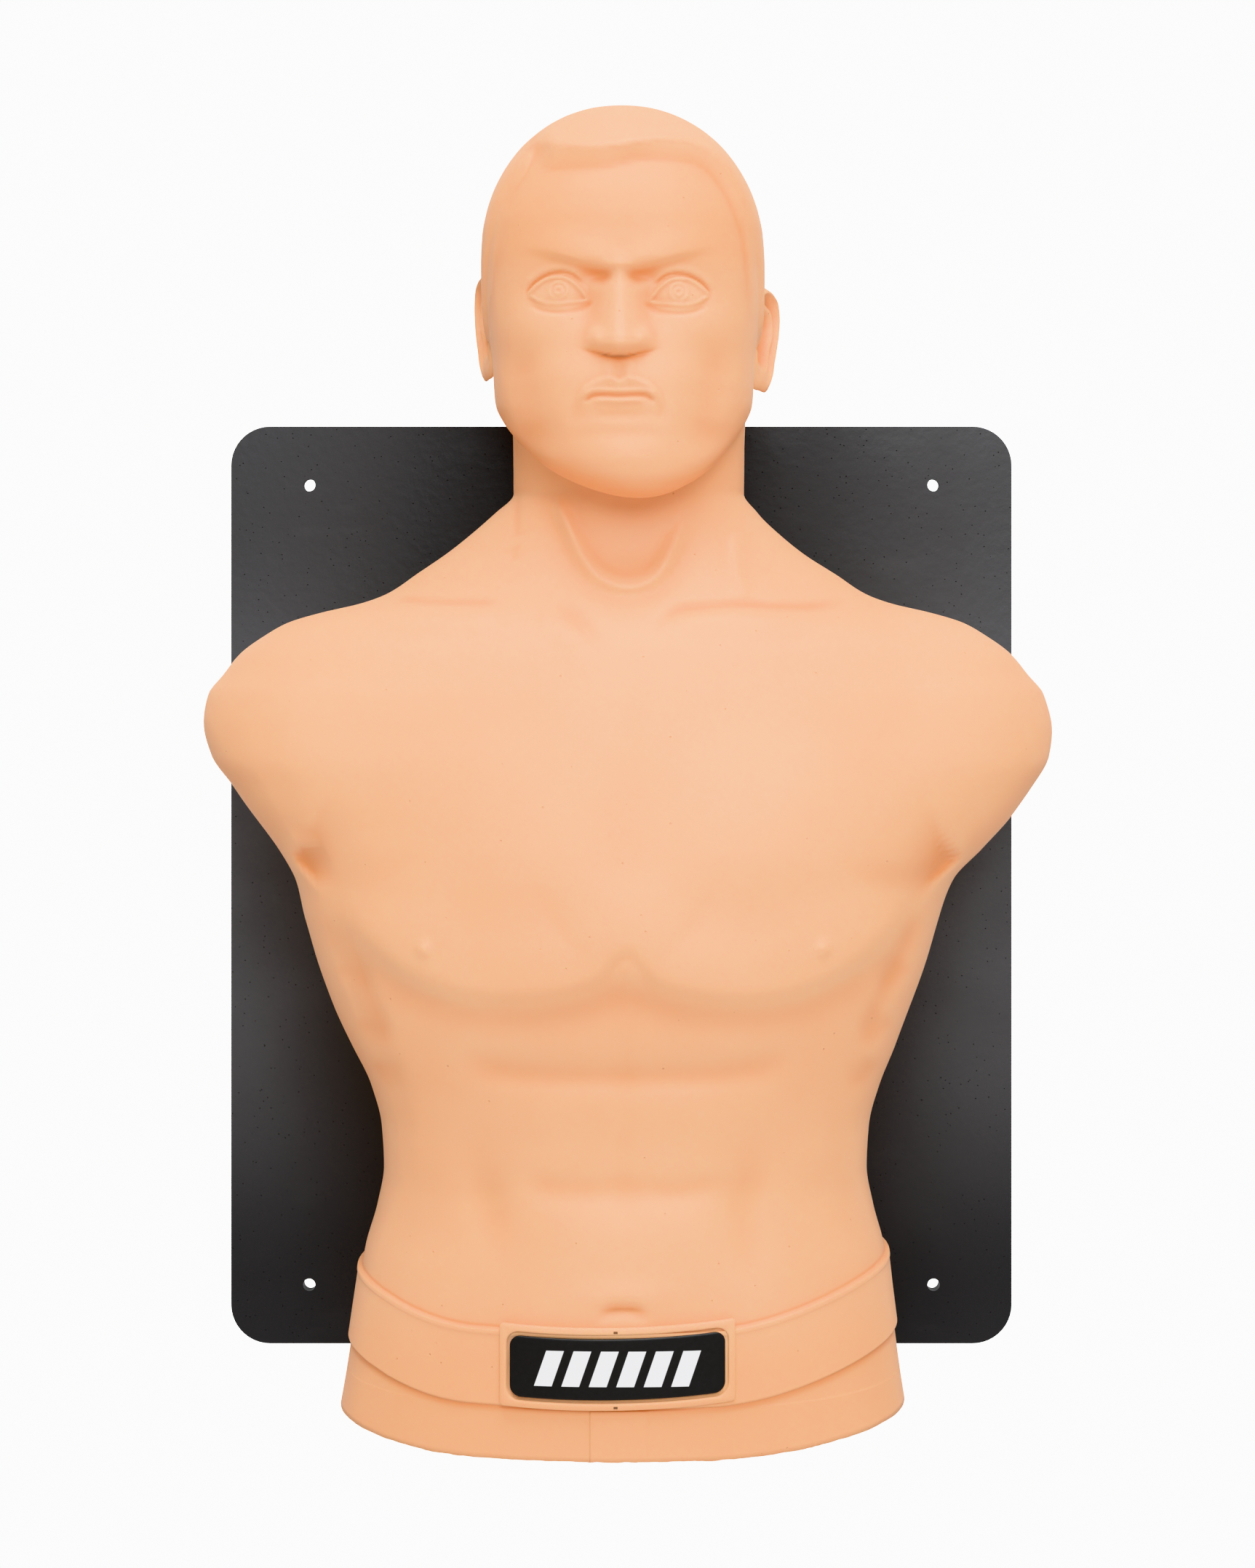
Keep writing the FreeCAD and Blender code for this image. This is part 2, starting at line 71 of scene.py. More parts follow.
def smooth_through(table):
    """A function of the first column of a table, smooth and without overshoot, giving the others."""
    table = np.array(table, float)
    places, values = table[:, 0], table[:, 1:]
    gaps = np.diff(places)[:, None]
    rises = np.diff(values, axis=0) / gaps
    slopes = np.zeros_like(values)
    slopes[0], slopes[-1] = rises[0], rises[-1]
    same_way = rises[:-1] * rises[1:] > 0
    total = np.where(same_way, rises[:-1] + rises[1:], 1.0)
    slopes[1:-1] = np.where(same_way, 2 * rises[:-1] * rises[1:] / total, 0.0)

    def at(place):
        """The other columns' values at a place."""
        place = np.clip(np.asarray(place, float), places[0], places[-1])
        i = np.clip(np.searchsorted(places, place) - 1, 0, len(places) - 2)
        gap = gaps[i, 0][..., None]
        t = (place[..., None] - places[i][..., None]) / gap
        return (
            values[i] * (1 + 2 * t) * (1 - t) ** 2
            + slopes[i] * gap * t * (1 - t) ** 2
            + values[i + 1] * t * t * (3 - 2 * t)
            + slopes[i + 1] * gap * t * t * (t - 1)
        )

    return at


def ease(low, high, value):
    """0 below low, 1 above high, smooth between."""
    t = np.clip((value - low) / (high - low), 0, 1)
    return t * t * (3 - 2 * t)


def soft_union(a, b, reach):
    """The nearer of two distances, blended where they are within reach of each other."""
    h = np.clip(0.5 + 0.5 * (b - a) / reach, 0, 1)
    return b * (1 - h) + a * h - reach * h * (1 - h)


def soft_cut(a, b, reach):
    """What two solids share, with a rounded edge."""
    return -soft_union(-a, -b, reach)


# --------------------
# The body's plain form: distances outside a trunk with a neck, and a head

# height, half width, then distances from the wall to the front, the widest line and the back, and the
# squareness of the outline (2 is an ellipse).
TRUNK = smooth_through([
    (-305, 172, 236, 118, -8, 2.3),
    (-284, 168.5, 236, 118, -8, 2.3),
    (-259, 164.9, 235, 118, -8, 2.3),
    (-234, 161.5, 234, 117, -8, 2.3),
    (-209, 158, 231, 116, -8, 2.3),
    (-184, 151.2, 228, 115, -8, 2.3),
    (-160, 147.2, 226, 114, -8, 2.35),
    (-135, 148.5, 227, 114, -8, 2.4),
    (-110, 154.9, 229, 114, -8, 2.4),
    (-85, 165.8, 232, 115, -8, 2.4),
    (-60, 176.2, 235, 115, -8, 2.4),
    (-35, 185.1, 237, 116, -8, 2.4),
    (-10, 192.4, 238, 116, -8, 2.4),
    (14, 199.9, 238, 116, -8, 2.35),
    (33, 214.3, 237, 116, -8, 2.3),
    (51, 229.6, 235, 116, -8, 2.2),
    (70, 243.6, 232, 115, -8, 2.15),
    (89, 256, 228, 114, -8, 2.1),
    (107, 259.5, 223, 113, -6, 2.05),
    (126, 256, 217, 111, -4, 2.05),
    (138, 246.9, 212, 109, -1, 2.05),
    (151, 236.5, 206, 107, 3, 2.05),
    (163, 220.3, 199, 104, 9, 2.05),
    (170, 208, 194, 101, 14, 2.05),
    (176, 188.8, 189, 98, 18, 2.05),
    (182, 163.6, 184, 95, 23, 2.05),
    (188, 148.1, 179, 92, 27, 2.05),
    (200, 130.3, 171, 89, 34, 2.05),
    (213, 110.8, 165, 87, 39, 2.05),
    (225, 95.8, 162, 87, 43, 2.05),
    (238, 81.6, 161, 89, 47, 2.05),
    (250, 71.5, 162, 91, 49, 2.05),
    (275, 71.5, 166, 96, 48, 2.05),
    (300, 72, 170, 100, 43, 2.05),
    (330, 68, 170, 105, 35, 2.05),
    (360, 60, 160, 105, 33, 2.05),
])
HEAD = smooth_through([
    (226, 30, 198, 148, 60, 2.0),
    (241, 43, 204.5, 136, 50, 2.1),
    (248, 50.5, 207.5, 131, 42, 2.15),
    (256, 57.5, 209.5, 126, 38, 2.25),
    (266, 63.5, 210.5, 121, 35, 2.35),
    (278, 69.5, 210.5, 115, 31, 2.45),
    (290, 75, 210, 111, 28, 2.6),
    (301, 78.4, 209, 110, 26, 2.65),
    (312, 79.2, 208.5, 109, 23, 2.75),
    (328, 80, 206.5, 108, 20, 2.8),
    (345, 82, 205.5, 108, 17, 2.8),
    (365, 83.6, 206.5, 108, 14, 2.75),
    (387, 84, 208.5, 108, 13, 2.6),
    (405, 83.2, 208.5, 108, 13, 2.45),
    (418, 80.9, 206, 108, 15, 2.35),
    (430, 77.2, 201, 108, 19, 2.25),
    (442, 71.4, 194, 108, 25, 2.2),
    (455, 62.6, 183, 108, 35, 2.1),
    (465, 52.5, 170, 108, 47, 2.05),
    (472, 42.5, 158, 108, 59, 2.0),
    (478, 29.5, 143, 108, 74, 2.0),
    (481, 18.5, 129, 108, 87, 2.0),
    (482.3, 7, 116, 108, 100, 2.0),
])
CROWN_Z = 482.3
NECK_END_Z = 365.0
# The jaw's underside is a plane through the chin that rises towards the back.
CHIN_Z, CHIN_Y, JAW_RISE = 235.5, -200.0, 0.62
NECK_BLEND, NAPE_BLEND, JAW_BLEND = 6.0, 26.0, 24.0

# How far the trunk with its neck, and the head, sit off the middle, by height.
TRUNK_SHIFT = smooth_through([
    (-305, 1), (-240, 1.6), (-180, 2.4), (-110, 2.4), (-60, 0.3), (-10, 0.3), (16, 2),
    (34, 5.5), (52, 7), (70, 7), (88, 5.6), (106, 4), (126, 2.8), (160, 2.4),
    (195, 3),
    (213, 2.2), (232, 2.6), (250, 4.6), (300, 4.6), (350, 2),
])
HEAD_SHIFT = smooth_through([
    (226, 11), (241, 10), (250, 7), (265, 4), (285, 2.2), (305, 1.5), (345, 1.2),
    (483, 0),
])


def outside(x, y, sections):
    """About how far (x, y) lies outside a squared ellipse, for each section given."""
    half_width, front, middle, back, power = np.moveaxis(sections, -1, 0)
    reach = np.where(y < -middle, front - middle, middle - back)
    size = (np.abs(x / half_width) ** power + np.abs((y + middle) / reach) ** power) ** (1 / power)
    size = np.maximum(size, 1e-6)
    return (size - 1) * np.hypot(x, y + middle) / size


def trunk_gap(x, y, z):
    """Distance outside the trunk and neck."""
    return outside(x - TRUNK_SHIFT(z)[..., 0], y, TRUNK(z)) + np.maximum(z - NECK_END_Z, 0)


def head_gap(x, y, z):
    """Distance outside the head, cut off below the jaw."""
    jaw_z = CHIN_Z + JAW_RISE * (y - CHIN_Y)
    below_jaw = (jaw_z - z) / math.hypot(1, JAW_RISE)
    above_crown = z - CROWN_Z
    form = outside(x - HEAD_SHIFT(z)[..., 0], y, HEAD(z))
    return np.maximum(soft_cut(form, below_jaw, JAW_BLEND), above_crown)


def body_gap(x, y, z):
    """Distance outside the whole body, flat where it meets the board."""
    blend = NECK_BLEND + (NAPE_BLEND - NECK_BLEND) * ease(-105, -50, y)
    form = soft_union(trunk_gap(x, y, z), head_gap(x, y, z), blend)
    return soft_cut(form, y - BACK_Y, 5.0)


# --------------------
# The grid of rays that finds the surface

CENTRE_Y = -108.0
CAP_Z = 402.0
WAIST_HALF = 165.0
RAY_LONG = 330.0
HALVINGS = 20
# The plain inner surface has one column for this many outer ones.
COLUMN_STEP = 4


def even(low, high, step):
    """Evenly spaced values from low up to but not including high."""
    return np.linspace(low, high, max(int(round((high - low) / step)), 1), endpoint=False)


def column_directions():
    """Sideways and forward parts of each column's ray: dense in front, sparse at the back."""
    edge = 0.75
    front = np.linspace(-edge, edge, 141)
    turn = math.acos(edge)
    side = [(math.cos(a), -math.sin(a)) for a in np.linspace(turn, 0, 24)[1:]]
    back = [(math.cos(a), math.sin(a)) for a in np.linspace(0, math.pi, 54)[1:-1]]
    middle = [(u, -math.sqrt(1 - u * u)) for u in front]
    left = [(-c, s) for c, s in side[::-1]]
    ring = np.array(middle + side + back + left)
    return ring[: len(ring) // COLUMN_STEP * COLUMN_STEP]


BELT_TOP, BELT_BOTTOM, BELT_PROUD = BUCKLE_Z + 19.5, BUCKLE_Z - 23.2, 2.8
# Extra rows of points on either side of each edge of the belt, to keep it sharp.
EDGE_ROWS = (-1.4, -0.7, -0.25, 0.25, 0.7, 1.4)

# From NECK_Z up the rays tilt, to their steepest at FAN_Z.
FAN_Z = 350.0
STEEPEST = 1.15
NECK_Z = 222.0


def rows_of_rays():
    """Where each row of rays starts and how steeply it falls, from the hem to the start of the skull
    cap: level up to the neck, then tilting down so that the rays see the underside of the jaw."""
    level = [
        even(HEM_Z, BELT_BOTTOM - 2, 3.0),
        BELT_BOTTOM + np.array(EDGE_ROWS),
        even(BELT_BOTTOM + 2, BELT_TOP - 5, 3.0),
        BELT_TOP - 3 + np.array((-1.0, -0.4, 0.2, 0.8)),
        BELT_TOP + np.array(EDGE_ROWS),
        even(BELT_TOP + 3, 150, 3.1),
        even(150, NECK_Z, 1.8),
    ]
    level = np.concatenate(level)
    neck = even(NECK_Z, FAN_Z, 1.3)
    fan = even(STEEPEST, 0, -0.0092)
    above = np.concatenate([even(FAN_Z, 384, 1.0), even(384, CAP_Z, 1.8)])
    heights = np.concatenate([level, neck, np.full(len(fan), FAN_Z), above])
    falls = np.concatenate([
        np.zeros(len(level)), STEEPEST * (neck - NECK_Z) / (FAN_Z - NECK_Z), fan, np.zeros(len(above))
    ])
    return heights, falls


def waist_lift(x, height):
    """How much higher the belt and the hem run at the sides than in front."""
    rise = 16 * ease(80, 170, -x) + 25 * ease(46, 176, x)
    return rise * (0.35 + 0.65 * ease(HEM_Z, BELT_BOTTOM, height)) * (1 - ease(BELT_TOP + 2, -120, height))


# Half width and forward reach of the bundle of rays, by height: they only steer the rays.
RAY_SPREAD = smooth_through([
    (-305, 172, 120), (-150, 148, 114), (0, 195, 122), (105, 257, 112),
    (170, 190, 90), (225, 92, 78), (260, 78, 86), (330, 80, 100),
    (387, 86, 100), (402, 86, 100),
])


def cast(directions, heights, falls, cap_rows, depth):
    """Points where rays meet the surface that lies depth inside the body: rows round it, then the cap."""
    lift = np.concatenate([np.zeros(len(heights)), np.linspace(0, math.pi / 2, cap_rows + 1)[:-1]])
    heights = np.concatenate([heights, np.full(cap_rows, CAP_Z)])
    falls = np.concatenate([falls, np.zeros(cap_rows)])
    spread = RAY_SPREAD(heights)
    steps = np.zeros((len(heights), len(directions), 3))
    steps[..., :2] = spread[:, None, :] * directions[None]
    tilt_share = 0.35 + 0.65 * ease(0.0, 0.8, -directions[:, 1])
    steps[..., 2] = -falls[:, None] * tilt_share * np.linalg.norm(steps[..., :2], axis=2)
    steps[..., :2] *= np.cos(lift)[:, None, None]
    steps[..., 2] += (CROWN_Z - CAP_Z) * np.sin(lift)[:, None]
    steps /= np.linalg.norm(steps, axis=2, keepdims=True)
    starts = np.zeros_like(steps)
    starts[:, :, 1] = CENTRE_Y
    starts[:, :, 2] = heights[:, None] + waist_lift(WAIST_HALF * directions[:, 0], heights[:, None])
    # The skin is thicker round the armpits and from the neck up, where the relief cuts deepest.
    thicker = 1 + 1.8 * ease(120, 170, heights) + 1.8 * np.exp(-(((heights - 48) / 30) ** 2))
    low = np.zeros(steps.shape[:2])
    high = np.full(steps.shape[:2], RAY_LONG)
    for _ in range(HALVINGS):
        half = (low + high) / 2
        p = starts + steps * half[..., None]
        inside = body_gap(p[..., 0], p[..., 1], p[..., 2]) < -depth * thicker[:, None]
        low, high = np.where(inside, half, low), np.where(inside, high, half)
    return starts + steps * ((low + high) / 2)[..., None]


def grid_normals(grid):
    """Outward normals of a grid whose rows are closed rings."""
    along = np.roll(grid, -1, axis=1) - np.roll(grid, 1, axis=1)
    up = np.gradient(grid, axis=0)
    normal = np.cross(along, up)
    return normal / np.maximum(np.linalg.norm(normal, axis=2, keepdims=True), 1e-9)


# --------------------
# Relief: how far the front of the body stands forward, over the front view (x, z)


class Line:
    """A smooth line through a few points of the front view."""

    def __init__(self, *points, from_middle=False):
        points = [np.array(p, float) for p in points]
        before = points[1] * (-1, 1) if from_middle else 2 * points[0] - points[1]
        chain = [before] + points + [2 * points[-1] - points[-2]]
        samples = []
        for a, b, c, d in zip(chain, chain[1:], chain[2:], chain[3:]):
            for t in np.linspace(0, 1, 9)[:-1]:
                samples.append(
                    0.5 * (2 * b + (c - a) * t + (2 * a - 5 * b + 4 * c - d) * t ** 2
                           + (3 * b - a - 3 * c + d) * t ** 3)
                )
        samples.append(points[-1])
        self.samples = np.array(samples)

    def near(self, x, z):
        """Distance to the line, positive on its left side, and the place along it from 0 to 1."""
        best = np.full(np.shape(x), 1e9)
        side = np.zeros(np.shape(x))
        place = np.zeros(np.shape(x))
        count = len(self.samples) - 1
        for i, (a, b) in enumerate(zip(self.samples, self.samples[1:])):
            run = b - a
            length = run @ run
            t = np.clip(((x - a[0]) * run[0] + (z - a[1]) * run[1]) / length, 0, 1)
            dx, dz = x - a[0] - t * run[0], z - a[1] - t * run[1]
            gap = np.hypot(dx, dz)
            nearer = gap < best
            best = np.where(nearer, gap, best)
            side = np.where(nearer, np.sign(run[0] * dz - run[1] * dx), side)
            place = np.where(nearer, (i + t) / count, place)
        return best * np.where(side == 0, 1, side), place


def fade(place, start=0.15, end=0.15):
    """1 along a line, easing to 0 at its ends over the shares given."""
    level = np.ones_like(place)
    if start > 0:
        level = level * ease(0, start, place)
    if end > 0:
        level = level * ease(0, end, 1 - place)
    return level


def ridge(x, z, line, width, height, start=0.15, end=0.15):
    """A rounded ridge along a line, or a groove where height is negative."""
    gap, place = line.near(x, z)
    return height * np.exp(-((gap / width) ** 2)) * fade(place, start, end)


def ledge(x, z, line, left, right, height, start=0.15, end=0.15):
    """A ridge whose two sides fall away over different widths."""
    gap, place = line.near(x, z)
    width = np.where(gap > 0, left, right)
    return height * np.exp(-((gap / width) ** 2)) * fade(place, start, end)


def dome(x, z, at_x, at_z, size_x, size_z, height, turn=0.0):
    """A smooth round bump."""
    c, s = math.cos(math.radians(turn)), math.sin(math.radians(turn))
    u, v = (x - at_x) * c + (z - at_z) * s, (z - at_z) * c - (x - at_x) * s
    return height * np.exp(-0.5 * ((u / size_x) ** 2 + (v / size_z) ** 2))


class Relief:
    """A height over the front view, held on a square grid."""

    def __init__(self, height, low_x, high_x, low_z, high_z, step):
        self.low, self.step = (low_x, low_z), step
        z, x = np.meshgrid(np.arange(low_z, high_z, step), np.arange(low_x, high_x, step), indexing="ij")
        self.grid = height(x, z)

    def sunk(self, reach):
        """The grid of how far each place lies below the average around it."""
        count = int(3 * reach / self.step)
        weights = np.exp(-0.5 * (np.arange(-count, count + 1) * self.step / reach) ** 2)
        weights /= weights.sum()
        average = self.grid
        for axis in (0, 1):
            edges = [(count, count) if n == axis else (0, 0) for n in (0, 1)]
            wide = np.pad(average, edges, "edge")
            size = average.shape[axis]
            average = sum(w * np.take(wide, np.arange(n, n + size), axis) for n, w in enumerate(weights))
        return average - self.grid

    def crisp(self, x, z, reach, gain):
        """The height with its fine ups and downs made stronger."""
        return self.at(x, z, self.grid - gain * self.sunk(reach))

    def at(self, x, z, grid=None):
        """The height, or another grid's value, at places of the front view."""
        grid = self.grid if grid is None else grid
        column = np.clip((x - self.low[0]) / self.step, 0, grid.shape[1] - 1.001)
        row = np.clip((z - self.low[1]) / self.step, 0, grid.shape[0] - 1.001)
        i, j = column.astype(int), row.astype(int)
        u, v = column - i, row - j
        low = grid[j, i] * (1 - u) + grid[j, i + 1] * u
        high = grid[j + 1, i] * (1 - u) + grid[j + 1, i + 1] * u
        return low * (1 - v) + high * v


def trunk_relief(x, z):
    """Muscles of the chest and belly, the collar bones and the front of the neck."""
    side = np.abs(x - 2)
    wide = np.hypot(side, 14)
    out = dome(wide, z, 92, 30, 58, 50, 8.0)
    pec_edge = Line((0, -14), (8, -20), (18, -30), (36, -36), (62, -39), (90, -37), (116, -28), (138, -13),
                    (154, 5), (164, 24))
    out += ledge(np.hypot(side, 8) - 2.5, z, pec_edge, 36, 13, 9.0, 0.0, 0.3)
    arch = Line((-24, -45), (-10, -35), (-4, -25), (3.5, -20.5), (10, -27), (17, -37), (30, -47))
    out += ridge(x, z, arch, 3.4, -1.3, 0.35, 0.35) + dome(x, z, 3.5, -34, 5.5, 7, 1.2)
    out += dome(wide, z, 60, -66, 40, 12, 1.5)
    out += ridge(side, z, Line((0, -91), (40, -90.5), (75, -87), (100, -78)), 9, -2.2, 0.0, 0.4)
    out += dome(wide, z, 40, -112, 28, 14, 1.6) + dome(wide, z, 36, -178, 28, 14, 1.4)
    out += ridge(side, z, Line((0, -156), (36, -157), (66, -151)), 9, -1.7, 0.0, 0.4)
    left_groin = Line((-97, -116), (-80, -150), (-74, -170), (-66, -190), (-55, -216))
    right_groin = Line((78, -110), (74, -147), (70, -168), (71, -196), (66, -216))
    for groin in (left_groin, right_groin):
        out += ridge(x, z, groin, 15, -3.4, 0.4, 0.5)
    out += ridge(x, z, Line((2, -56), (2, -130), (2, -182)), 9, -0.6)
    out += dome(x, z, 2, -197, 42, 22, 2.6)
    navel = Line((-16, -227), (-8, -224), (1, -222.8), (10, -224), (18, -227))
    out += ridge(x, z, navel, 2.8, -3.4, 0.4, 0.4)
    out += dome(x, z, 1, -216, 20, 6, 1.6)
    out += ridge(side, z, Line((171, 6), (166, -14), (155, -38), (143, -64), (137, -84)), 7, -1.5, 0.3, 0.3)
    for high, out_x in ((-28, 168), (-60, 158), (-86, 150)):
        rib = Line((out_x, high), (out_x - 10, high - 10), (out_x - 24, high - 16))
        out += ledge(side, z, rib, 6, 11, -1.2, 0.3, 0.4)
    armpit = Line((195, 24), (189, 31), (183, 41), (177, 55), (169, 78))
    out += ledge(side, z, armpit, 20, 6, -6.5, 0.2, 0.75)
    out += dome(wide, z, 208, 92, 30, 38, 5.0)
    out += ridge(x, z, Line((-138, 184), (-105, 181.5), (-72, 181)), 2.6, -1.6)
    out += ridge(x, z, Line((-138, 178), (-105, 174.5), (-72, 174)), 6, 1.2)
    out += ridge(x, z, Line((-44, 181), (-30, 175), (-19, 163), (-9, 146)), 6.5, -1.5, 0.4, 0.5)
    out += ridge(x, z, Line((-48, 174), (-36, 166), (-25, 154)), 6, 0.9)
    collar = Line((15, 158), (29, 175), (47, 179), (71, 180.5), (92, 179), (116, 179.5), (140, 184))
    out += ridge(x, z, collar, 3.4, -2.2, 0.3, 0.2)
    out += ridge(x, z, Line((26, 158), (40, 169), (62, 173), (92, 172), (118, 173)), 6, 1.3, 0.3, 0.3)
    throat = Line((-40, 248), (-36, 237), (-30, 223), (-23, 209), (-12, 196), (5, 191), (21, 198),
                  (32, 218), (42, 242))
    gap, place = throat.near(x, z)
    out += 4.2 * np.exp(-((gap / 4.2) ** 2)) * fade(place, 0.2, 0.2)
    out += ridge(x, z, Line((-64, 250), (-63, 226), (-65, 204)), 3, -1.0)
    out += ridge(x, z, Line((70, 226), (69, 200), (74, 184)), 3.4, 1.5)
    for nipple_x in (-113, 115.5):
        out += dome(x, z, nipple_x, -17, 2.4, 2.4, 2.4)
    return out


FACE_X = -1.2
EYES = ((-36.8, 361.8), (33.4, 360.8))


def nose_relief(side, z):
    """The ridge, tip, wings and nostrils."""
    down = np.clip((381 - z) / 47, 0, 1)
    half = 5.2 + 7.6 * down
    height = 2.0 + 14.0 * down ** 1.2
    tip_z, tip_round = 331.5 + 0.009 * side ** 2, 7.5
    under = np.sqrt(np.clip(1 - (np.clip(tip_z - z, 0, None) / tip_round) ** 2, 0, 1))
    out = height * np.exp(-((side / half) ** 2.2)) * under * ease(0, 1, (390 - z) / 14)
    out += dome(side, z, 14.2, 334.0, 3.2, 4.8, 3.6) * ease(326.0, 330.0, z)
    out += dome(side, z, 9.5, 326.0, 3.6, 1.2, -0.9)
    return out


def mouth_relief(side, z):
    """The pursed lips, the groove above them and the chin below."""
    out = dome(side, z, 0, 303, 27, 17, 4.5)
    out += dome(side, z, 0, 317, 2.2, 4, -0.4) + dome(side, z, 6, 317, 2.2, 5, 0.6)
    upper = Line((0, 308.5), (5, 310.6), (13, 308.4), (20, 303.5), (25.5, 293), from_middle=True)
    out += ledge(side, z, upper, 1.7, 4.0, 1.6, 0.0, 0.25)
    parting = Line((0, 300.4), (12, 300.8), (17, 299.6), (21.5, 296), from_middle=True)
    out += ridge(side, z, parting, 1.3, -1.4, 0.0, 0.3)
    above_parting = Line((0, 303), (12, 303.4), (18, 302), (23, 297), from_middle=True)
    out += ridge(side, z, above_parting, 1.2, 0.7, 0.0, 0.3)
    out += ridge(side, z, Line((0, 297.2), (10, 297.4), (16, 296.4), from_middle=True), 1.5, 0.9, 0.0, 0.5)
    out += dome(side, z, 0, 289.5, 15, 3.4, -1.4)
    out += dome(side, z, 25, 292, 3.5, 5.5, -0.8)
    out += dome(side, z, 0, 279, 16, 4.0, -1.0)
    out += dome(side, z, 0, 264, 20, 10, 3.0)
    return out


def eye_relief(u, v):
    """One eye about its own centre, with u towards the temple."""
    opening = np.clip(1 - (np.abs(u) / 18.0) ** 2 - np.where(v > 0, v / 9.4, v / 7.2) ** 2, 0, 1)
    out = 2.3 * opening ** 0.8
    upper = Line((-17.5, -4.5), (-11, 3.2), (-3, 8.2), (6, 8.0), (13, 4.0), (18, -0.4))
    lower = Line((-17.5, -4.5), (-9, -6.2), (1, -7.2), (10, -5.6), (18, -0.4))
    out += ridge(u, v, upper, 0.9, 1.4, 0.06, 0.06)
    out += ridge(u, v, lower, 0.9, 1.0, 0.06, 0.06)
    out += ridge(u, v, Line((-15, 4.5), (-7, 10.6), (3, 11.4), (13, 7.0), (20, -0.5)), 0.8, -1.0, 0.1, 0.1)
    hood = Line((-16, 7.5), (-6, 12.6), (5, 13.0), (15, 8.5), (21, 2))
    out += ledge(u, v, hood, 3.0, 1.3, 0.8, 0.2, 0.2)
    pouch = Line((-21, -5), (-13, -10.0), (-2, -12.0), (9, -10.4), (19, -5))
    out += ridge(u, v, pouch, 1.6, -1.0, 0.12, 0.25)
    iris = np.hypot(u, v - 0.6)
    out += 0.75 * np.exp(-(((iris - 5.2) / 0.65) ** 2)) * ease(-4.8, -2.0, v)
    out += 0.8 * np.exp(-(((iris - 2.1) / 0.7) ** 2))
    return out


def face_relief(x, z):
    """The stern face and the rest of the front of the head."""
    side = np.abs(x - FACE_X)
    out = nose_relief(side, z) + mouth_relief(side, z)
    brow = Line((0, 377.5), (7, 376.8), (14, 377.6), (26, 381.0), (38, 385.0), (52, 389), (62, 389),
                from_middle=True)
    out += ledge(side, z, brow, 13, 3.4, 4.0, 0.0, 0.6) * (0.5 + 0.5 * ease(0, 12, side))
    out += dome(side, z, 13, 371.5, 7, 3.6, -4.0, 12)
    out += dome(side, z, 36, 365, 18, 10, -3.4)
    out += dome(side, z, 20, 356, 6, 9, -3.4)
    out += dome(side, z, 52, 343, 14, 9, 2.4)
    out += ridge(side, z, Line((58, 338), (55, 312), (50, 285), (43, 262)), 12, -4.2, 0.3, 0.35)
    for eye_x, eye_z in EYES:
        out += eye_relief((x - eye_x) * np.sign(eye_x), z - eye_z)
    return out


FRINGE_TOP = Line((-68, 466), (-56, 460), (-44, 453), (-28, 449), (-12, 448), (6, 450.5), (24, 453.5),
                  (43, 452), (57, 443), (67.5, 428.5), (75, 411), (79, 391), (81, 365), (82, 340))
FRINGE_FOOT = Line((-64, 450), (-50, 440), (-38, 435), (-12, 434), (10, 439), (34, 440), (48, 437),
                   (59, 425), (67.5, 407), (72, 391), (74.5, 365), (75.5, 340))
LEFT_TEMPLE = Line((-50, 452), (-58, 436), (-66, 423), (-71, 412), (-75.6, 388), (-78.5, 366))


def hair_relief(x, z):
    """The moulded fringe: a slanting front between its foot and its top edge, and the left hairline."""
    top_gap, top_place = FRINGE_TOP.near(x, z)
    foot_gap, _ = FRINGE_FOOT.near(x, z)
    rise = np.clip(foot_gap / np.maximum(foot_gap - top_gap, 3.0), 0, 1)
    wall = rise ** 1.2
    begin = ease(-52, -39, x)
    lock = 1 - 0.5 * ease(0.5, 0.9, top_place)
    out = (3.0 + 8.0 * np.exp(-np.maximum(top_gap, 0) / 18)) * wall * begin * lock * ease(350, 376, z)
    temple_gap, temple_place = LEFT_TEMPLE.near(x, z)
    out += 1.3 * ease(-2.0, 1.0, -temple_gap) * ease(0.0, 0.1, temple_place) * (x < -40)
    return out


def belt_growth(z):
    """How far the belt stands out, with a small lip along its top edge."""
    band = ease(BELT_BOTTOM - 0.6, BELT_BOTTOM + 0.6, z) * (1 - ease(BELT_TOP - 0.6, BELT_TOP + 0.6, z))
    lip = ease(BELT_TOP - 3.8, BELT_TOP - 2.6, z)
    return band * (BELT_PROUD - 0.5 + 0.6 * lip)


def placket_growth(x, level):
    """How far the strip down the middle of the trousers stands out, below the belt."""
    strip = ease(-20, -17, x) * (1 - ease(13, 18, x))
    return 0.7 * strip * (1 - ease(BELT_BOTTOM - 2.6, BELT_BOTTOM - 0.8, level))


HAIRLINE = smooth_through([
    (-180, 292), (-125, 300), (-108, 322), (-98, 342), (-76, 344), (-68, 372),
    (-60, 398), (-52, 418), (-42, 434), (-30, 450), (-20, 452), (0, 450),
    (14, 453), (28, 450), (38, 440), (48, 422), (56, 402),
    (66, 374), (76, 345), (98, 340), (108, 320), (125, 300), (180, 292),
])


def hair_growth(points):
    """How far the moulded hair stands out of the skull, thinning to nothing at the fringe."""
    turn = np.degrees(np.arctan2(points[..., 0], -(points[..., 1] - CENTRE_Y)))
    above = points[..., 2] - HAIRLINE(turn)[..., 0]
    edge = ease(-6, 6, above)
    behind = ease(45, 75, np.abs(turn))
    top = ease(0, 26, above)
    return (2.8 * edge * behind + 3.0 * top * (1 - behind)) * ease(285, 300, points[..., 2])


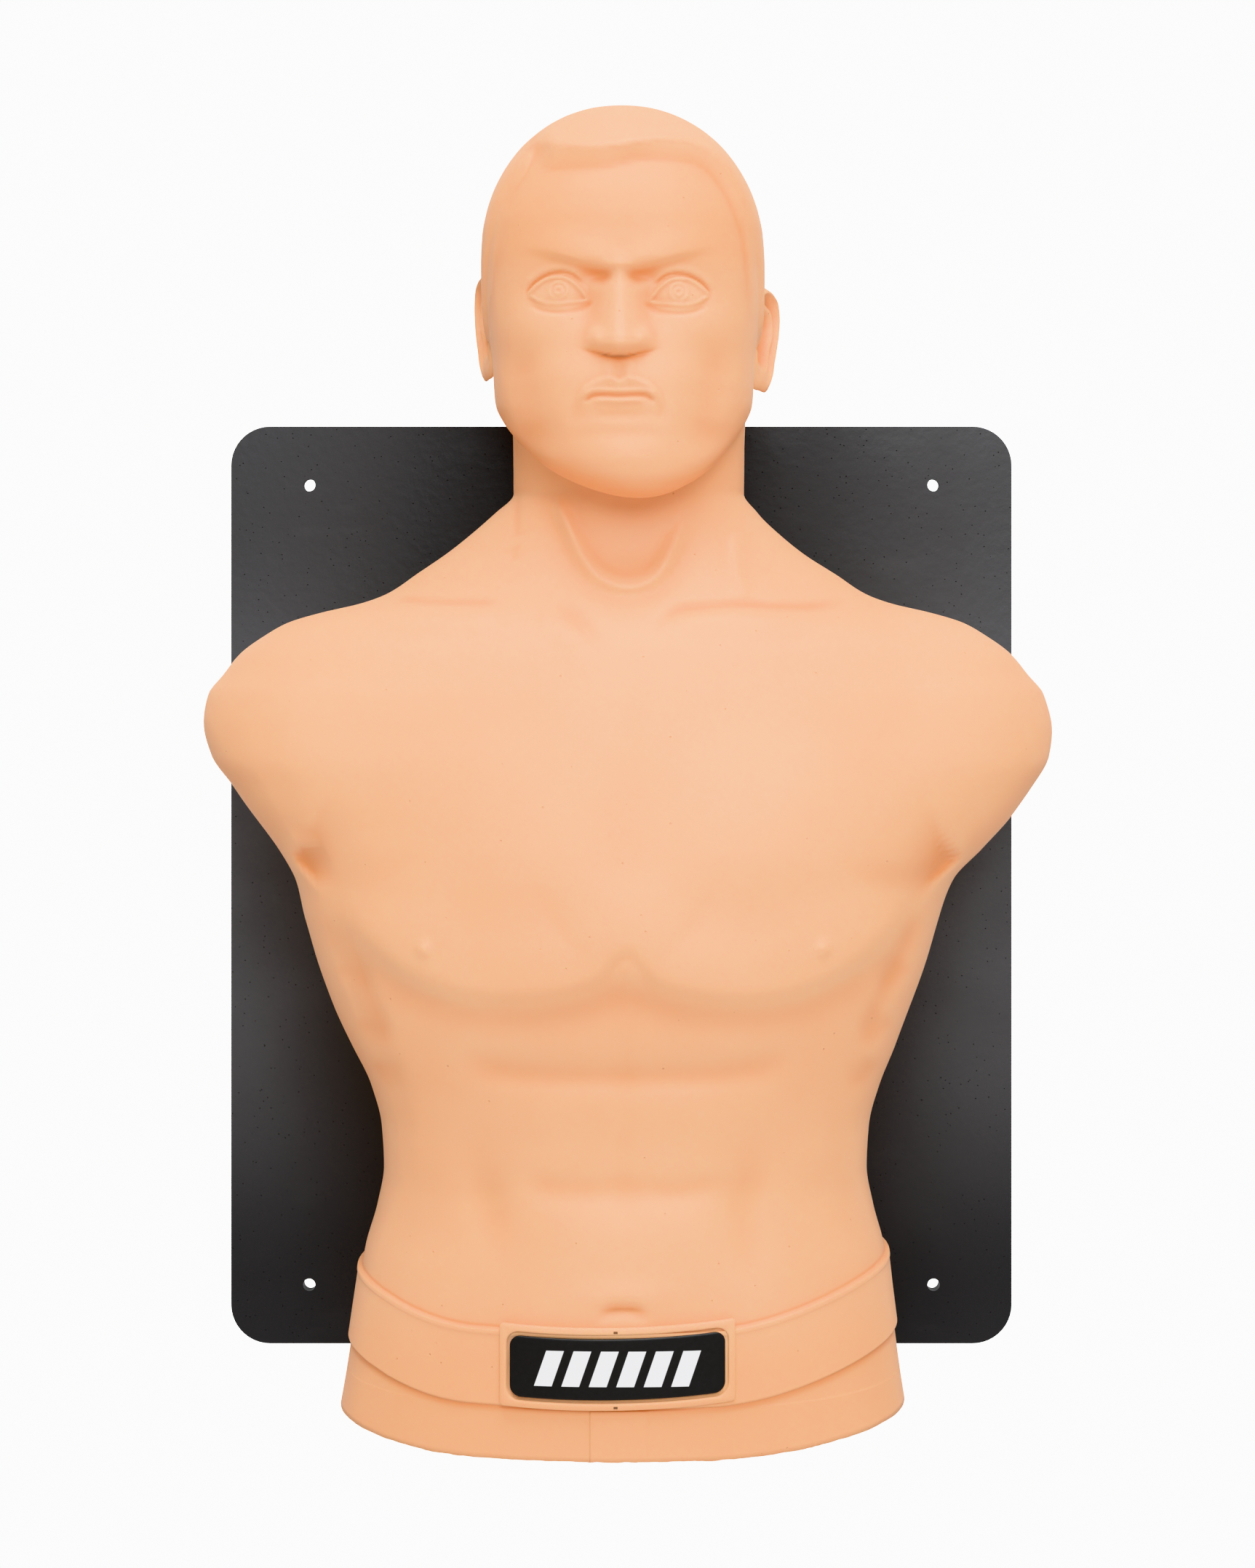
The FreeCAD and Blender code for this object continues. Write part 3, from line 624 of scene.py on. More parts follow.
TRUNK_RELIEF = Relief(trunk_relief, -262, 263, -306, 262, 1.5)
HEAD_RELIEF = Relief(lambda x, z: face_relief(x, z) + hair_relief(x, z), -92, 93, 226, 486, 0.5)


def shaped(points, levels):
    """The plain form with its relief, belt and hair, and how much shade is painted on it: 0 none, 1 full.
    """
    x, y, z = np.moveaxis(points, -1, 0)
    normals = grid_normals(points)
    facing = ease(0.02, 0.35, -normals[..., 1])
    head_share = 1 / (1 + np.exp(-(trunk_gap(x, y, z) - head_gap(x, y, z)) / 1.5))
    forward = TRUNK_RELIEF.crisp(x, z, 9.0, 0.45) * (1 - head_share) * facing
    forward += HEAD_RELIEF.crisp(x, z, 3.0, 0.3) * head_share * ease(0.1, 0.5, -normals[..., 1])
    growth = belt_growth(levels)[:, None] + hair_growth(points)
    growth = growth + placket_growth(x, levels[:, None]) * facing
    out = points + normals * growth[..., None]
    out[..., 1] -= forward
    out[..., 1] = np.minimum(out[..., 1], BACK_Y)
    # Painted shade in the hollows of the relief: how far each place lies below the average around it.
    painted_shade = np.zeros(x.shape)
    for relief, share, reaches in (
        (TRUNK_RELIEF, 1 - head_share, ((5.0, 3.0), (14.0, 9.0))),
        (HEAD_RELIEF, head_share, ((1.6, 1.1), (5.0, 5.5))),
    ):
        for reach, full in reaches:
            painted_shade += relief.at(x, z, np.clip(relief.sunk(reach) / full, -0.5, 1)) * share * facing
    # Painted shade on the parts that face down: under the jaw, the arms and the chest.
    painted_shade += 0.6 * ease(0.08, 0.8, -normals[..., 2])
    # Painted shade along the skin just outside both edges of the belt.
    for edge in (BELT_BOTTOM - 1.2, BELT_TOP + 1.2):
        painted_shade += 0.7 * np.exp(-(((levels[:, None] - edge) / 1.0) ** 2))
    return out, np.clip(painted_shade, 0, 1)


# --------------------
# Meshes


def in_scene(name, data):
    """A new object in the scene."""
    thing = bpy.data.objects.new(name, data)
    bpy.context.scene.collection.objects.link(thing)
    return thing


def mesh_object(name, points, faces, body="root"):
    """A mesh piece from points in millimetres."""
    mesh = bpy.data.meshes.new(name)
    mesh.from_pydata([tuple(p * MM) for p in points], [], faces)
    mesh.validate()
    mesh.shade_smooth()
    thing = in_scene(name, mesh)
    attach(thing, body)
    return thing


def ring_faces(rows, columns, start, inward=False):
    """Faces between closed rings of points, which are numbered row by row from start."""
    faces = []
    for j in range(rows - 1):
        for i in range(columns):
            k = (i + 1) % columns
            face = (start + j * columns + i, start + j * columns + k,
                    start + (j + 1) * columns + k, start + (j + 1) * columns + i)
            faces.append(face[::-1] if inward else face)
    return faces


def cap_faces(ring_start, columns, tip, inward=False):
    """Triangles from a ring to one point above it."""
    faces = []
    for i in range(columns):
        face = (ring_start + i, ring_start + (i + 1) % columns, tip)
        faces.append(face[::-1] if inward else face)
    return faces


def shell_faces(rows, columns, start=0, inward=False):
    """Faces of closed rings numbered from start, and of the tip that comes after them."""
    tip = start + rows * columns
    return ring_faces(rows, columns, start, inward) + cap_faces(tip - columns, columns, tip, inward)


def skin_parts():
    """The skin: the shaped outer surface, a plain inner one and the cut hem between them."""
    directions = column_directions()
    levels, falls = rows_of_rays()
    form = cast(directions, levels, falls, 48, 0.0)
    outer, shade_levels = shaped(form, np.pad(levels, (0, len(form) - len(levels)), "edge"))
    rng = np.random.default_rng(7)
    ragged = np.convolve(rng.normal(0, 1, outer.shape[1] + 6), np.ones(3) / 3, "same")[3:-3]
    outer[0, :, 2] += 0.3 * ragged
    rows, columns = outer.shape[:2]
    levels = even(HEM_Z, CAP_Z, 22.0)
    inner = cast(directions[::COLUMN_STEP], levels, levels * 0, 7, SKIN_THICK)
    inner_rows, inner_columns = inner.shape[:2]

    points = [outer.reshape(-1, 3), [outer[-1].mean(axis=0) + (0, 0, 0.1)]]
    inner_start = rows * columns + 1
    points += [inner.reshape(-1, 3), [inner[-1].mean(axis=0) + (0, 0, 0.1)]]
    faces = shell_faces(rows, columns)
    faces += shell_faces(inner_rows, inner_columns, inner_start, inward=True)
    for i in range(inner_columns):
        outside_run = [(i * COLUMN_STEP + n) % columns for n in range(COLUMN_STEP + 1)]
        inside_run = [inner_start + (i + 1) % inner_columns, inner_start + i]
        faces.append(tuple(outside_run + inside_run)[::-1])
    return np.concatenate(points), faces, shade_levels.ravel()


def build_foam():
    """The foam core: it fills the skin and is cut flat just above the hem."""
    directions = column_directions()[::2]
    levels = even(HEM_Z + 0.8, CAP_Z, 12.0)
    core = cast(directions, levels, levels * 0, 9, SKIN_THICK + 0.4)
    rows, columns = core.shape[:2]
    rng = np.random.default_rng(11)
    middle = core[0].mean(axis=0)
    floor = [middle + (core[0] - middle) * share for share in np.linspace(0.985, 0.05, 24)]
    floor = np.array(floor)
    floor[..., 2] += rng.normal(0.25, 0.18, floor.shape[:2]) * np.linspace(1, 0, len(floor))[:, None]
    points = [core.reshape(-1, 3), [core[-1].mean(axis=0)], floor.reshape(-1, 3), [middle]]
    floor_start = rows * columns + 1
    faces = shell_faces(rows, columns) + shell_faces(len(floor), columns, floor_start, inward=True)
    for i in range(columns):
        k = (i + 1) % columns
        faces.append((floor_start + i, floor_start + k, k, i))
    return mesh_object("foam_bulk", np.concatenate(points), faces)


def front_of_trunk(x, z, out):
    """Points that stand out of the trunk's plain front by out, at places of the front view."""

    def depth(x, z):
        """The plain front's y."""
        half_width, front, middle, _, power = np.moveaxis(TRUNK(z), -1, 0)
        return -middle - (front - middle) * (1 - np.abs(x / half_width) ** power) ** (1 / power)

    y = depth(x, z)
    slope_x = depth(x + 0.5, z) - depth(x - 0.5, z)
    slope_z = depth(x, z + 0.5) - depth(x, z - 0.5)
    normal = np.stack([slope_x, -np.ones_like(y), slope_z], -1)
    normal /= np.linalg.norm(normal, axis=-1, keepdims=True)
    return np.stack([x, y, z], -1) + normal * np.asarray(out)[..., None]


def rounded_ring(width, height, corner):
    """Points round a rounded rectangle centred on (0, 0), the same number whatever its size."""
    half_w, half_h = width / 2 - corner, height / 2 - corner
    points = []
    corners = [(1, -1, -90), (1, 1, 0), (-1, 1, 90), (-1, -1, 180)]
    for (sx, sz, start), (tx, tz, _), steps in zip(corners, corners[1:] + corners[:1], (14, 44, 14, 44)):
        for a in np.radians(start + np.linspace(0, 90, 9)):
            points.append((sx * half_w + corner * math.cos(a), sz * half_h + corner * math.sin(a)))
        end = math.radians(start + 90)
        here = np.array(points[-1])
        there = np.array((tx * half_w + corner * math.cos(end), tz * half_h + corner * math.sin(end)))
        points += [tuple(here + (there - here) * n / steps) for n in range(1, steps)]
    return np.array(points)


# How far the buckle sits off the middle and below its CAD height, how far its ends rise, and its tilt.
BUCKLE_X, BUCKLE_DROP, BUCKLE_BOW, BUCKLE_TILT = -2.2, 0.9, 2.7, 0.02
BUCKLE_HALF = 66.0
# The two small moulding slots in the frame, one above and one below its middle.
SLOT_X, SLOT_UP, SLOT_MIDDLE_Z = -3.3, 21.1, BUCKLE_Z - 1.1


def plate_on_belt(rings):
    """A closed plate that follows the belt: rings of (width, height, corner, how far out), from the
    underside's edge over the top to its middle."""
    grid = []
    for width, height, corner, out in rings:
        ring = rounded_ring(width, height, max(corner, 0.05))
        x = ring[:, 0] + BUCKLE_X
        bow = BUCKLE_BOW * (ring[:, 0] / BUCKLE_HALF) ** 2 + BUCKLE_TILT * ring[:, 0]
        z = ring[:, 1] + BUCKLE_Z - BUCKLE_DROP + bow
        grid.append(front_of_trunk(x, z, np.full(len(ring), out)))
    grid = np.array(grid)
    rows, columns = grid.shape[:2]
    faces = ring_faces(rows, columns, 0)
    faces.append(tuple(range((rows - 1) * columns, rows * columns)))
    faces.append(tuple(range(columns))[::-1])
    return grid.reshape(-1, 3), faces


def narrowing(width, height, corner, out, steps=6):
    """Rings that close a plate's top, level, towards its middle line."""
    rings = []
    for share in np.linspace(0, 1, steps + 1)[1:]:
        less = (height - 0.1) * share
        rings.append((width - less, height - less, max(corner - less / 2, 0.05), out))
    return rings


BADGE_SIZE = (BADGE_HIGH[0] - BADGE_LOW[0], BADGE_HIGH[2] - BADGE_LOW[2])
BADGE_CORNER = 6.0
RIM = 2.0
FRAME_WIDE = 4.0
FRAME_OUT, RECESS_OUT = 4.5, 2.0


def buckle_rings():
    """The raised buckle frame with the recess in it."""
    width, height, corner = BADGE_SIZE[0] + 2 * RIM, BADGE_SIZE[1] + 2 * RIM, BADGE_CORNER + 1
    outer = [(0.0, 0.6), (0.0, FRAME_OUT - 0.9), (0.25, FRAME_OUT - 0.35), (0.8, FRAME_OUT),
             (2.6, FRAME_OUT)]
    inner = [(1.0, FRAME_OUT), (0.35, FRAME_OUT - 0.3), (0.0, FRAME_OUT - 0.9), (-0.1, RECESS_OUT + 0.5),
             (-0.6, RECESS_OUT), (-1.5, RECESS_OUT)]
    full_w, full_h = width + 2 * FRAME_WIDE, height + 2 * FRAME_WIDE
    rings = [(full_w - 2 * d, full_h - 2 * d, 2.2, out) for d, out in outer]
    rings += [(width + 2 * d, height + 2 * d, corner + d, out) for d, out in inner]
    return rings + narrowing(width - 3, height - 3, corner - 1.5, RECESS_OUT)


def badge_rings():
    """The badge plate, with a rounded edge."""
    width, height = BADGE_SIZE
    low, top = RECESS_OUT + 0.8, RECESS_OUT + 2.8
    edge = [(0.3, low), (0.0, low + 0.3), (0.0, top - 0.5), (0.15, top - 0.15), (0.5, top), (1.5, top)]
    rings = [(width - 2 * d, height - 2 * d, BADGE_CORNER - d, out) for d, out in edge]
    return rings + narrowing(width - 3, height - 3, BADGE_CORNER - 1.5, top)


def tape_rings():
    """The tape behind the badge."""
    width, height = BADGE_SIZE[0] - 8, BADGE_SIZE[1] - 8
    low, top = RECESS_OUT + 0.05, RECESS_OUT + 0.75
    return [(width, height, 2.0, low), (width, height, 2.0, top)] + narrowing(width, height, 2.0, top)


# Ear: outline radius by angle round the ear's own centre, 0 towards the back and 90 upwards.
EAR_OUTLINE = smooth_through([
    (0, 15.5), (25, 18.5), (50, 25.0), (68, 29.5), (90, 30.0), (112, 27.5), (135, 20.5), (160, 15.5),
    (180, 14.5), (205, 15.5), (228, 22.0), (244, 30.5), (256, 32.5), (270, 31.0), (284, 31.5), (298, 27.5),
    (320, 18.5), (345, 15.5), (360, 15.5),
])
EAR_COLUMNS = 96


def around(angle, centre, width):
    """A smooth bump over an angle in degrees, round the circle."""
    away = (angle - centre + 180) % 360 - 180
    return np.exp(-((away / width) ** 2))


def build_ear(side, root, stand_deg, size):
    """One ear: a rimmed shell over a hollow, closed behind and sunk into the head."""
    turn = np.linspace(0, 360, EAR_COLUMNS, endpoint=False)
    outline = EAR_OUTLINE(turn)[:, 0] * size
    rim = 1 - around(turn, 270, 42) - around(turn, 190, 38)
    rim = np.clip(rim, 0, 1)
    rear = np.clip(around(turn, 20, 75), 0, 1)
    tragus, lobe = around(turn, 186, 24), around(turn, 270, 34)
    antitragus = around(turn, 236, 20)
    rings, heights = [], []

    def bell(share, centre, width):
        """A smooth bump over the way out from the middle."""
        return np.exp(-(((share - centre) / width) ** 2))

    for share in np.concatenate([np.linspace(0.0, 0.96, 30)[1:], (0.985, 1.0)]):
        height = (
            4.2 * rim * bell(share, 0.90, 0.07)
            + 3.4 * rear * bell(share, 0.58, 0.11)
            - 11.0 * bell(share, 0.0, 0.46)
            + 4.2 * tragus * bell(share, 0.66, 0.16)
            + 2.6 * antitragus * bell(share, 0.56, 0.12)
            + 2.0 * lobe * bell(share, 0.74, 0.26)
            - 2.8 * rim * bell(share, 0.755, 0.07)
        )
        edge = math.sqrt(max(1 - share ** 12, 0))
        rings.append(share)
        heights.append(height * edge + 1.2 * (edge - 1))
    front_rows = len(rings)
    behind = ((0.985, 2.0), (0.95, 2.9), (0.88, 3.6), (0.78, 4.2), (0.66, 6.0), (0.56, 10.0), (0.5, 18.0))
    for share, drop in behind:
        rings.append(share)
        heights.append(np.full(EAR_COLUMNS, -drop))
    rings, heights = np.array(rings), np.array(heights)
    c, s = np.cos(np.radians(turn)), np.sin(np.radians(turn))
    u = 2.0 + rings[:, None] * outline * c
    v = 1.5 + rings[:, None] * outline * s
    tip_front, tip_back = (2.0, 1.5, -7.0), (2.0, 1.5, -18.0)
    flat = np.concatenate([
        np.stack([u, v, heights], -1).reshape(-1, 3), [tip_front, tip_back]
    ])
    stand, lean = math.radians(stand_deg), math.radians(-7)
    u, v, w = flat[:, 0] + 12.5, flat[:, 1], flat[:, 2]
    u, v = u * math.cos(lean) - v * math.sin(lean), u * math.sin(lean) + v * math.cos(lean)
    points = np.stack([
        side * (u * math.sin(stand) + w * math.cos(stand)), u * math.cos(stand) - w * math.sin(stand), v
    ], -1) + np.array(root)
    rows = len(rings)
    faces = ring_faces(rows, EAR_COLUMNS, 0, inward=side < 0)
    faces += cap_faces((rows - 1) * EAR_COLUMNS, EAR_COLUMNS, rows * EAR_COLUMNS + 1, inward=side < 0)
    faces += cap_faces(0, EAR_COLUMNS, rows * EAR_COLUMNS, inward=side > 0)
    # Painted shade in the hollows of the ear's front, the more the lower they sink.
    hollow_shade = ease(0.0, -5.0, heights) * (np.arange(rows) < front_rows)[:, None]
    return points, faces, np.append(hollow_shade.ravel(), (1.0, 0.0))


def joined(parts):
    """One list of points and faces from several."""
    points, faces, count = [], [], 0
    for more_points, more_faces, *_ in parts:
        points.append(np.asarray(more_points))
        faces += [tuple(n + count for n in face) for face in more_faces]
        count += len(more_points)
    return np.concatenate(points), faces


EARS = (
    (-1, (-80.0, -119.0, 353.0), 15.0, 1.08),
    (1, (81.0, -119.0, 345.5), 27.0, 1.06),
)


def build_skin():
    """The skin with its ears and buckle frame, and how much shade is painted at each point."""
    shaded_parts = [skin_parts()] + [build_ear(*ear) for ear in EARS]
    thing = mesh_object("mannequin_skin", *joined(shaded_parts + [plate_on_belt(buckle_rings())]))
    level = np.zeros(len(thing.data.vertices))
    start = 0
    for points, _, shade_levels in shaded_parts:
        level[start:start + len(shade_levels)] = shade_levels
        start += len(points)
    # The painted shade is stored on the mesh for the skin's material.
    thing.data.attributes.new("painted_shade", "FLOAT", "POINT").data.foreach_set("value", level)
    return thing


skin = build_skin()
foam = build_foam()
badge = mesh_object("badge_plate", *plate_on_belt(badge_rings()))
tape = mesh_object("badge_tape", *plate_on_belt(tape_rings()))
for piece, node, slot in (
    (skin, "torso_skin", "skin_plastisol"),
    (foam, "foam_core", "foam"),
    (badge, "belt_badge", "badge_plastic"),
    (tape, "badge_adhesive", "tape"),
):
    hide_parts(node)


# --------------------
# Materials


class Finish:
    """A Principled material put together from a few texture steps, all in the object's own space."""

    def __init__(self, name, roughness, metallic=0.0):
        self.material = bpy.data.materials.new(name)
        self.material.use_nodes = True
        self.tree = self.material.node_tree
        self.shader = self.tree.nodes["Principled BSDF"]
        self.place = self.node("ShaderNodeTexCoord").outputs["Object"]
        self.set(self.shader, "Roughness", roughness)
        self.set(self.shader, "Metallic", metallic)
        self.surface = None

    def set(self, node, socket, value):
        """Link a socket to another, or give it a plain value."""
        if isinstance(value, bpy.types.NodeSocket):
            self.tree.links.new(value, node.inputs[socket])
        else:
            node.inputs[socket].default_value = value

    def node(self, kind, inputs=None, **settings):
        """A new node with its inputs linked or set."""
        node = self.tree.nodes.new(kind)
        for key, value in settings.items():
            setattr(node, key, value)
        for socket, value in (inputs or {}).items():
            self.set(node, socket, value)
        return node

    def stretched(self, x, y, z):
        """The place, scaled by axis."""
        return self.node("ShaderNodeMapping", {"Vector": self.place, "Scale": (x, y, z)}).outputs[0]

    def noise(self, scale, detail=3.0, place=None):
        """Smooth random clouds, 0 to 1."""
        inputs = {"Vector": place or self.place, "Scale": scale, "Detail": detail}
        return self.node("ShaderNodeTexNoise", inputs).outputs[0]

    def cells(self, scale):
        """Distance to the nearest of many scattered points."""
        inputs = {"Vector": self.place, "Scale": scale}
        return self.node("ShaderNodeTexVoronoi", inputs).outputs["Distance"]

    def axis(self, name):
        return self.node("ShaderNodeSeparateXYZ", {0: self.place}).outputs[name]

    def math(self, operation, a, b=0.0):
        return self.node("ShaderNodeMath", {0: a, 1: b}, operation=operation).outputs[0]

    def times(self, a, b):
        """The product of two values."""
        return self.math("MULTIPLY", a, b)

    def span(self, value, low, high, start=0.0, end=1.0):
        """start below low, end above high, smooth between."""
        inputs = {"Value": value, "From Min": low, "From Max": high, "To Min": start, "To Max": end}
        return self.node("ShaderNodeMapRange", inputs, interpolation_type="SMOOTHSTEP").outputs[0]

    def mix(self, share, a, b, blend="MIX"):
        node = self.node("ShaderNodeMix", {0: share, 6: a, 7: b}, data_type="RGBA", blend_type=blend)
        return node.outputs[2]

    def colour(self, value):
        self.set(self.shader, "Base Color", value)

    def bump(self, height, distance, strength=1.0):
        """Fine relief, laid over any already there."""
        inputs = {"Height": height, "Distance": distance, "Strength": strength}
        if self.surface:
            inputs["Normal"] = self.surface
        self.surface = self.node("ShaderNodeBump", inputs).outputs[0]
        self.set(self.shader, "Normal", self.surface)


def skin_finish():
    """Soft flesh-coloured plastisol: faint clouds, warm painted shade in hollows, fine grain, slots and pin
    holes.
    """
    skin = Finish("skin_plastisol", 0.5)
    clouds = skin.span(skin.noise(9.0, 4.0), 0.3, 0.7)
    base = skin.mix(clouds, (0.89, 0.535, 0.325, 1), (0.925, 0.575, 0.36, 1))
    x = skin.axis("X")
    # Warm, darker painted shade in the relief's hollows, the ears, under downward-facing parts and by the
    # belt.
    painted_shade = skin.node("ShaderNodeAttribute", attribute_name="painted_shade").outputs["Fac"]
    base = skin.mix(painted_shade, base, (0.92, 0.7, 0.545, 1), "MULTIPLY")
    waist = skin.span(skin.axis("Z"), -0.22, -0.27)
    base = skin.mix(skin.times(waist, 0.6), base, (1.0, 0.92, 0.82, 1), "MULTIPLY")
    # Painted shade above the brow, in the hollow between it and the fringe: a little darker and warmer.
    brow_to_hair = skin.times(
        skin.span(skin.axis("Z"), 0.37, 0.39), skin.span(skin.axis("Z"), 0.46, 0.43)
    )
    forehead_shade = skin.times(brow_to_hair, skin.span(skin.axis("Y"), -0.12, -0.19))
    base = skin.mix(forehead_shade, base, (0.98, 0.92, 0.84, 1), "MULTIPLY")
    pits = skin.span(skin.cells(75.0), 0.05, 0.02)
    base = skin.mix(skin.times(pits, 0.35), base, (0.6, 0.4, 0.26, 1), "MULTIPLY")
    beside = skin.span(skin.math("ABSOLUTE", skin.math("ADD", x, -MM * SLOT_X)), 0.0013, 0.001)
    from_frame = skin.math("ABSOLUTE", skin.math("ADD", skin.axis("Z"), -MM * SLOT_MIDDLE_Z))
    slots = skin.span(skin.math("ABSOLUTE", skin.math("ADD", from_frame, -MM * SLOT_UP)), 0.0008, 0.0005)
    slots = skin.times(beside, slots)
    base = skin.mix(slots, base, (0.2, 0.1, 0.05, 1))
    skin.colour(base)
    skin.set(skin.shader, "Subsurface Weight", 0.25)
    skin.set(skin.shader, "Subsurface Radius", (1.0, 0.4, 0.18))
    skin.set(skin.shader, "Subsurface Scale", 0.004)
    skin.set(skin.shader, "Sheen Weight", 0.1)
    skin.set(skin.shader, "Sheen Roughness", 0.45)
    skin.bump(skin.math("ADD", pits, slots), -0.0004)
    skin.bump(skin.noise(60.0, 5.0), 0.0006, 0.25)
    skin.bump(skin.noise(900.0, 2.0), 0.0003, 0.1)
    below_belt = skin.span(skin.axis("Z"), -0.2788, -0.2804)
    placket = skin.math("ADD", skin.span(x, -0.0186, -0.0172), skin.span(x, 0.0165, 0.0135, 0.0, 0.6))
    skin.bump(skin.times(placket, below_belt), 0.0006)
    return skin.material


def board_finish():
    """Black recycled plastic: mottled, scuffed and pitted, greyest at the sides of its upper half by
    painted light and shadow.
    """
    board = Finish("board_plastic", 0.42)
    board.set(board.shader, "Specular IOR Level", 0.35)
    # Painted light greys the sides of the upper half; painted shadow of the body darkens the middle and the
    # foot.
    outward = board.span(board.math("ABSOLUTE", board.axis("X")), 0.06, 0.24)
    level = board.axis("Z")
    above_foot = board.span(level, -0.27, -0.06, 0.3, 1.0)
    below_top = board.span(level, 0.08, 0.25, 1.0, 0.45)
    height = board.times(board.times(above_foot, below_top), outward)
    dark = board.mix(height, (0.004, 0.005, 0.0065, 1), (0.095, 0.108, 0.125, 1))
    blotches = board.span(board.noise(5.0, 6.0), 0.35, 0.68)
    tone = board.mix(board.times(blotches, 0.5), dark, (0.045, 0.05, 0.057, 1))
    scuffs = board.span(board.noise(14.0, 8.0, board.stretched(1.0, 1.0, 3.0)), 0.56, 0.78)
    tone = board.mix(board.times(scuffs, 0.25), tone, (0.065, 0.074, 0.085, 1))
    pits = board.span(board.cells(230.0), 0.1, 0.03)
    tone = board.mix(board.times(pits, 0.6), tone, (0.003, 0.003, 0.003, 1))
    board.colour(tone)
    board.set(board.shader, "Roughness", board.span(blotches, 0.0, 1.0, 0.34, 0.52))
    board.bump(pits, -0.0005)
    board.bump(board.noise(180.0, 4.0), 0.0004, 0.35)
    return board.material


def badge_finish():
    """Satin black with a plain row of slanting white bars."""
    badge = Finish("badge_plastic", 0.38)
    across = badge.math("ADD", badge.axis("X"), -MM * BUCKLE_X)
    up = badge.math("ADD", badge.axis("Z"), -MM * (BUCKLE_Z - 0.4))
    slant = badge.math("ADD", across, badge.times(up, -0.35))
    saw = badge.math("PINGPONG", slant, 0.0078)
    bars = badge.span(saw, 0.0026, 0.0029)
    inside = badge.times(badge.span(badge.math("ABSOLUTE", up), 0.0101, 0.0099),
                        badge.span(badge.math("ABSOLUTE", slant), 0.0495, 0.0493))
    grain = badge.noise(400.0, 3.0)
    black = badge.mix(grain, (0.007, 0.008, 0.009, 1), (0.014, 0.0155, 0.0175, 1))
    badge.colour(badge.mix(badge.times(bars, inside), black, (0.74, 0.83, 0.93, 1)))
    badge.bump(grain, 0.0002, 0.3)
    return badge.material


def foam_finish():
    """Pale poured foam with open cells."""
    foam = Finish("foam", 0.85)
    cells = foam.cells(420.0)
    tint = foam.mix(foam.noise(12.0, 4.0), (0.74, 0.74, 0.64, 1), (0.82, 0.84, 0.76, 1))
    foam.colour(foam.mix(foam.span(cells, 0.1, 0.5), (0.5, 0.5, 0.4, 1), tint))
    foam.bump(cells, 0.0015)
    foam.bump(foam.noise(90.0, 6.0), 0.003, 0.6)
    return foam.material


def plain_finish(name, dark, light, roughness, scale, metallic=0.0, stretch=(1, 1, 1), relief=0.0002):
    """A finish that drifts between two tones, with the same texture in relief."""
    finish = Finish(name, roughness, metallic)
    texture = finish.noise(scale, 5.0, finish.stretched(*stretch))
    finish.colour(finish.mix(finish.span(texture, 0.3, 0.7), dark + (1,), light + (1,)))
    finish.bump(texture, relief)
    return finish.material


def repaint(thing, material):
    """Give a piece one material."""
    thing.data.materials.clear()
    thing.data.materials.append(material)


zinc = plain_finish("zinc", (0.55, 0.56, 0.58), (0.74, 0.75, 0.77), 0.32, 300.0, metallic=1.0)
plywood = plain_finish("plywood", (0.42, 0.26, 0.13), (0.66, 0.46, 0.27), 0.6, 14.0, stretch=(14, 1, 1))
tape_white = plain_finish("tape", (0.62, 0.62, 0.6), (0.74, 0.74, 0.72), 0.7, 500.0)
repaint(skin, skin_finish())
repaint(foam, foam_finish())
repaint(badge, badge_finish())
repaint(tape, tape_white)
repaint(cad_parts["back_board"], board_finish())
repaint(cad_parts["anchor_panel"], plywood)
for fixings in ("t_nuts", "board_screws"):
    repaint(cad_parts[fixings], zinc)

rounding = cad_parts["back_board"].modifiers.new("edges", "BEVEL")
rounding.width = 0.0008
rounding.segments = 3
rounding.limit_method = "ANGLE"
rounding.harden_normals = True

# --------------------
# Studio


LAMP_TARGET = Vector((0, -0.1, 0.1))


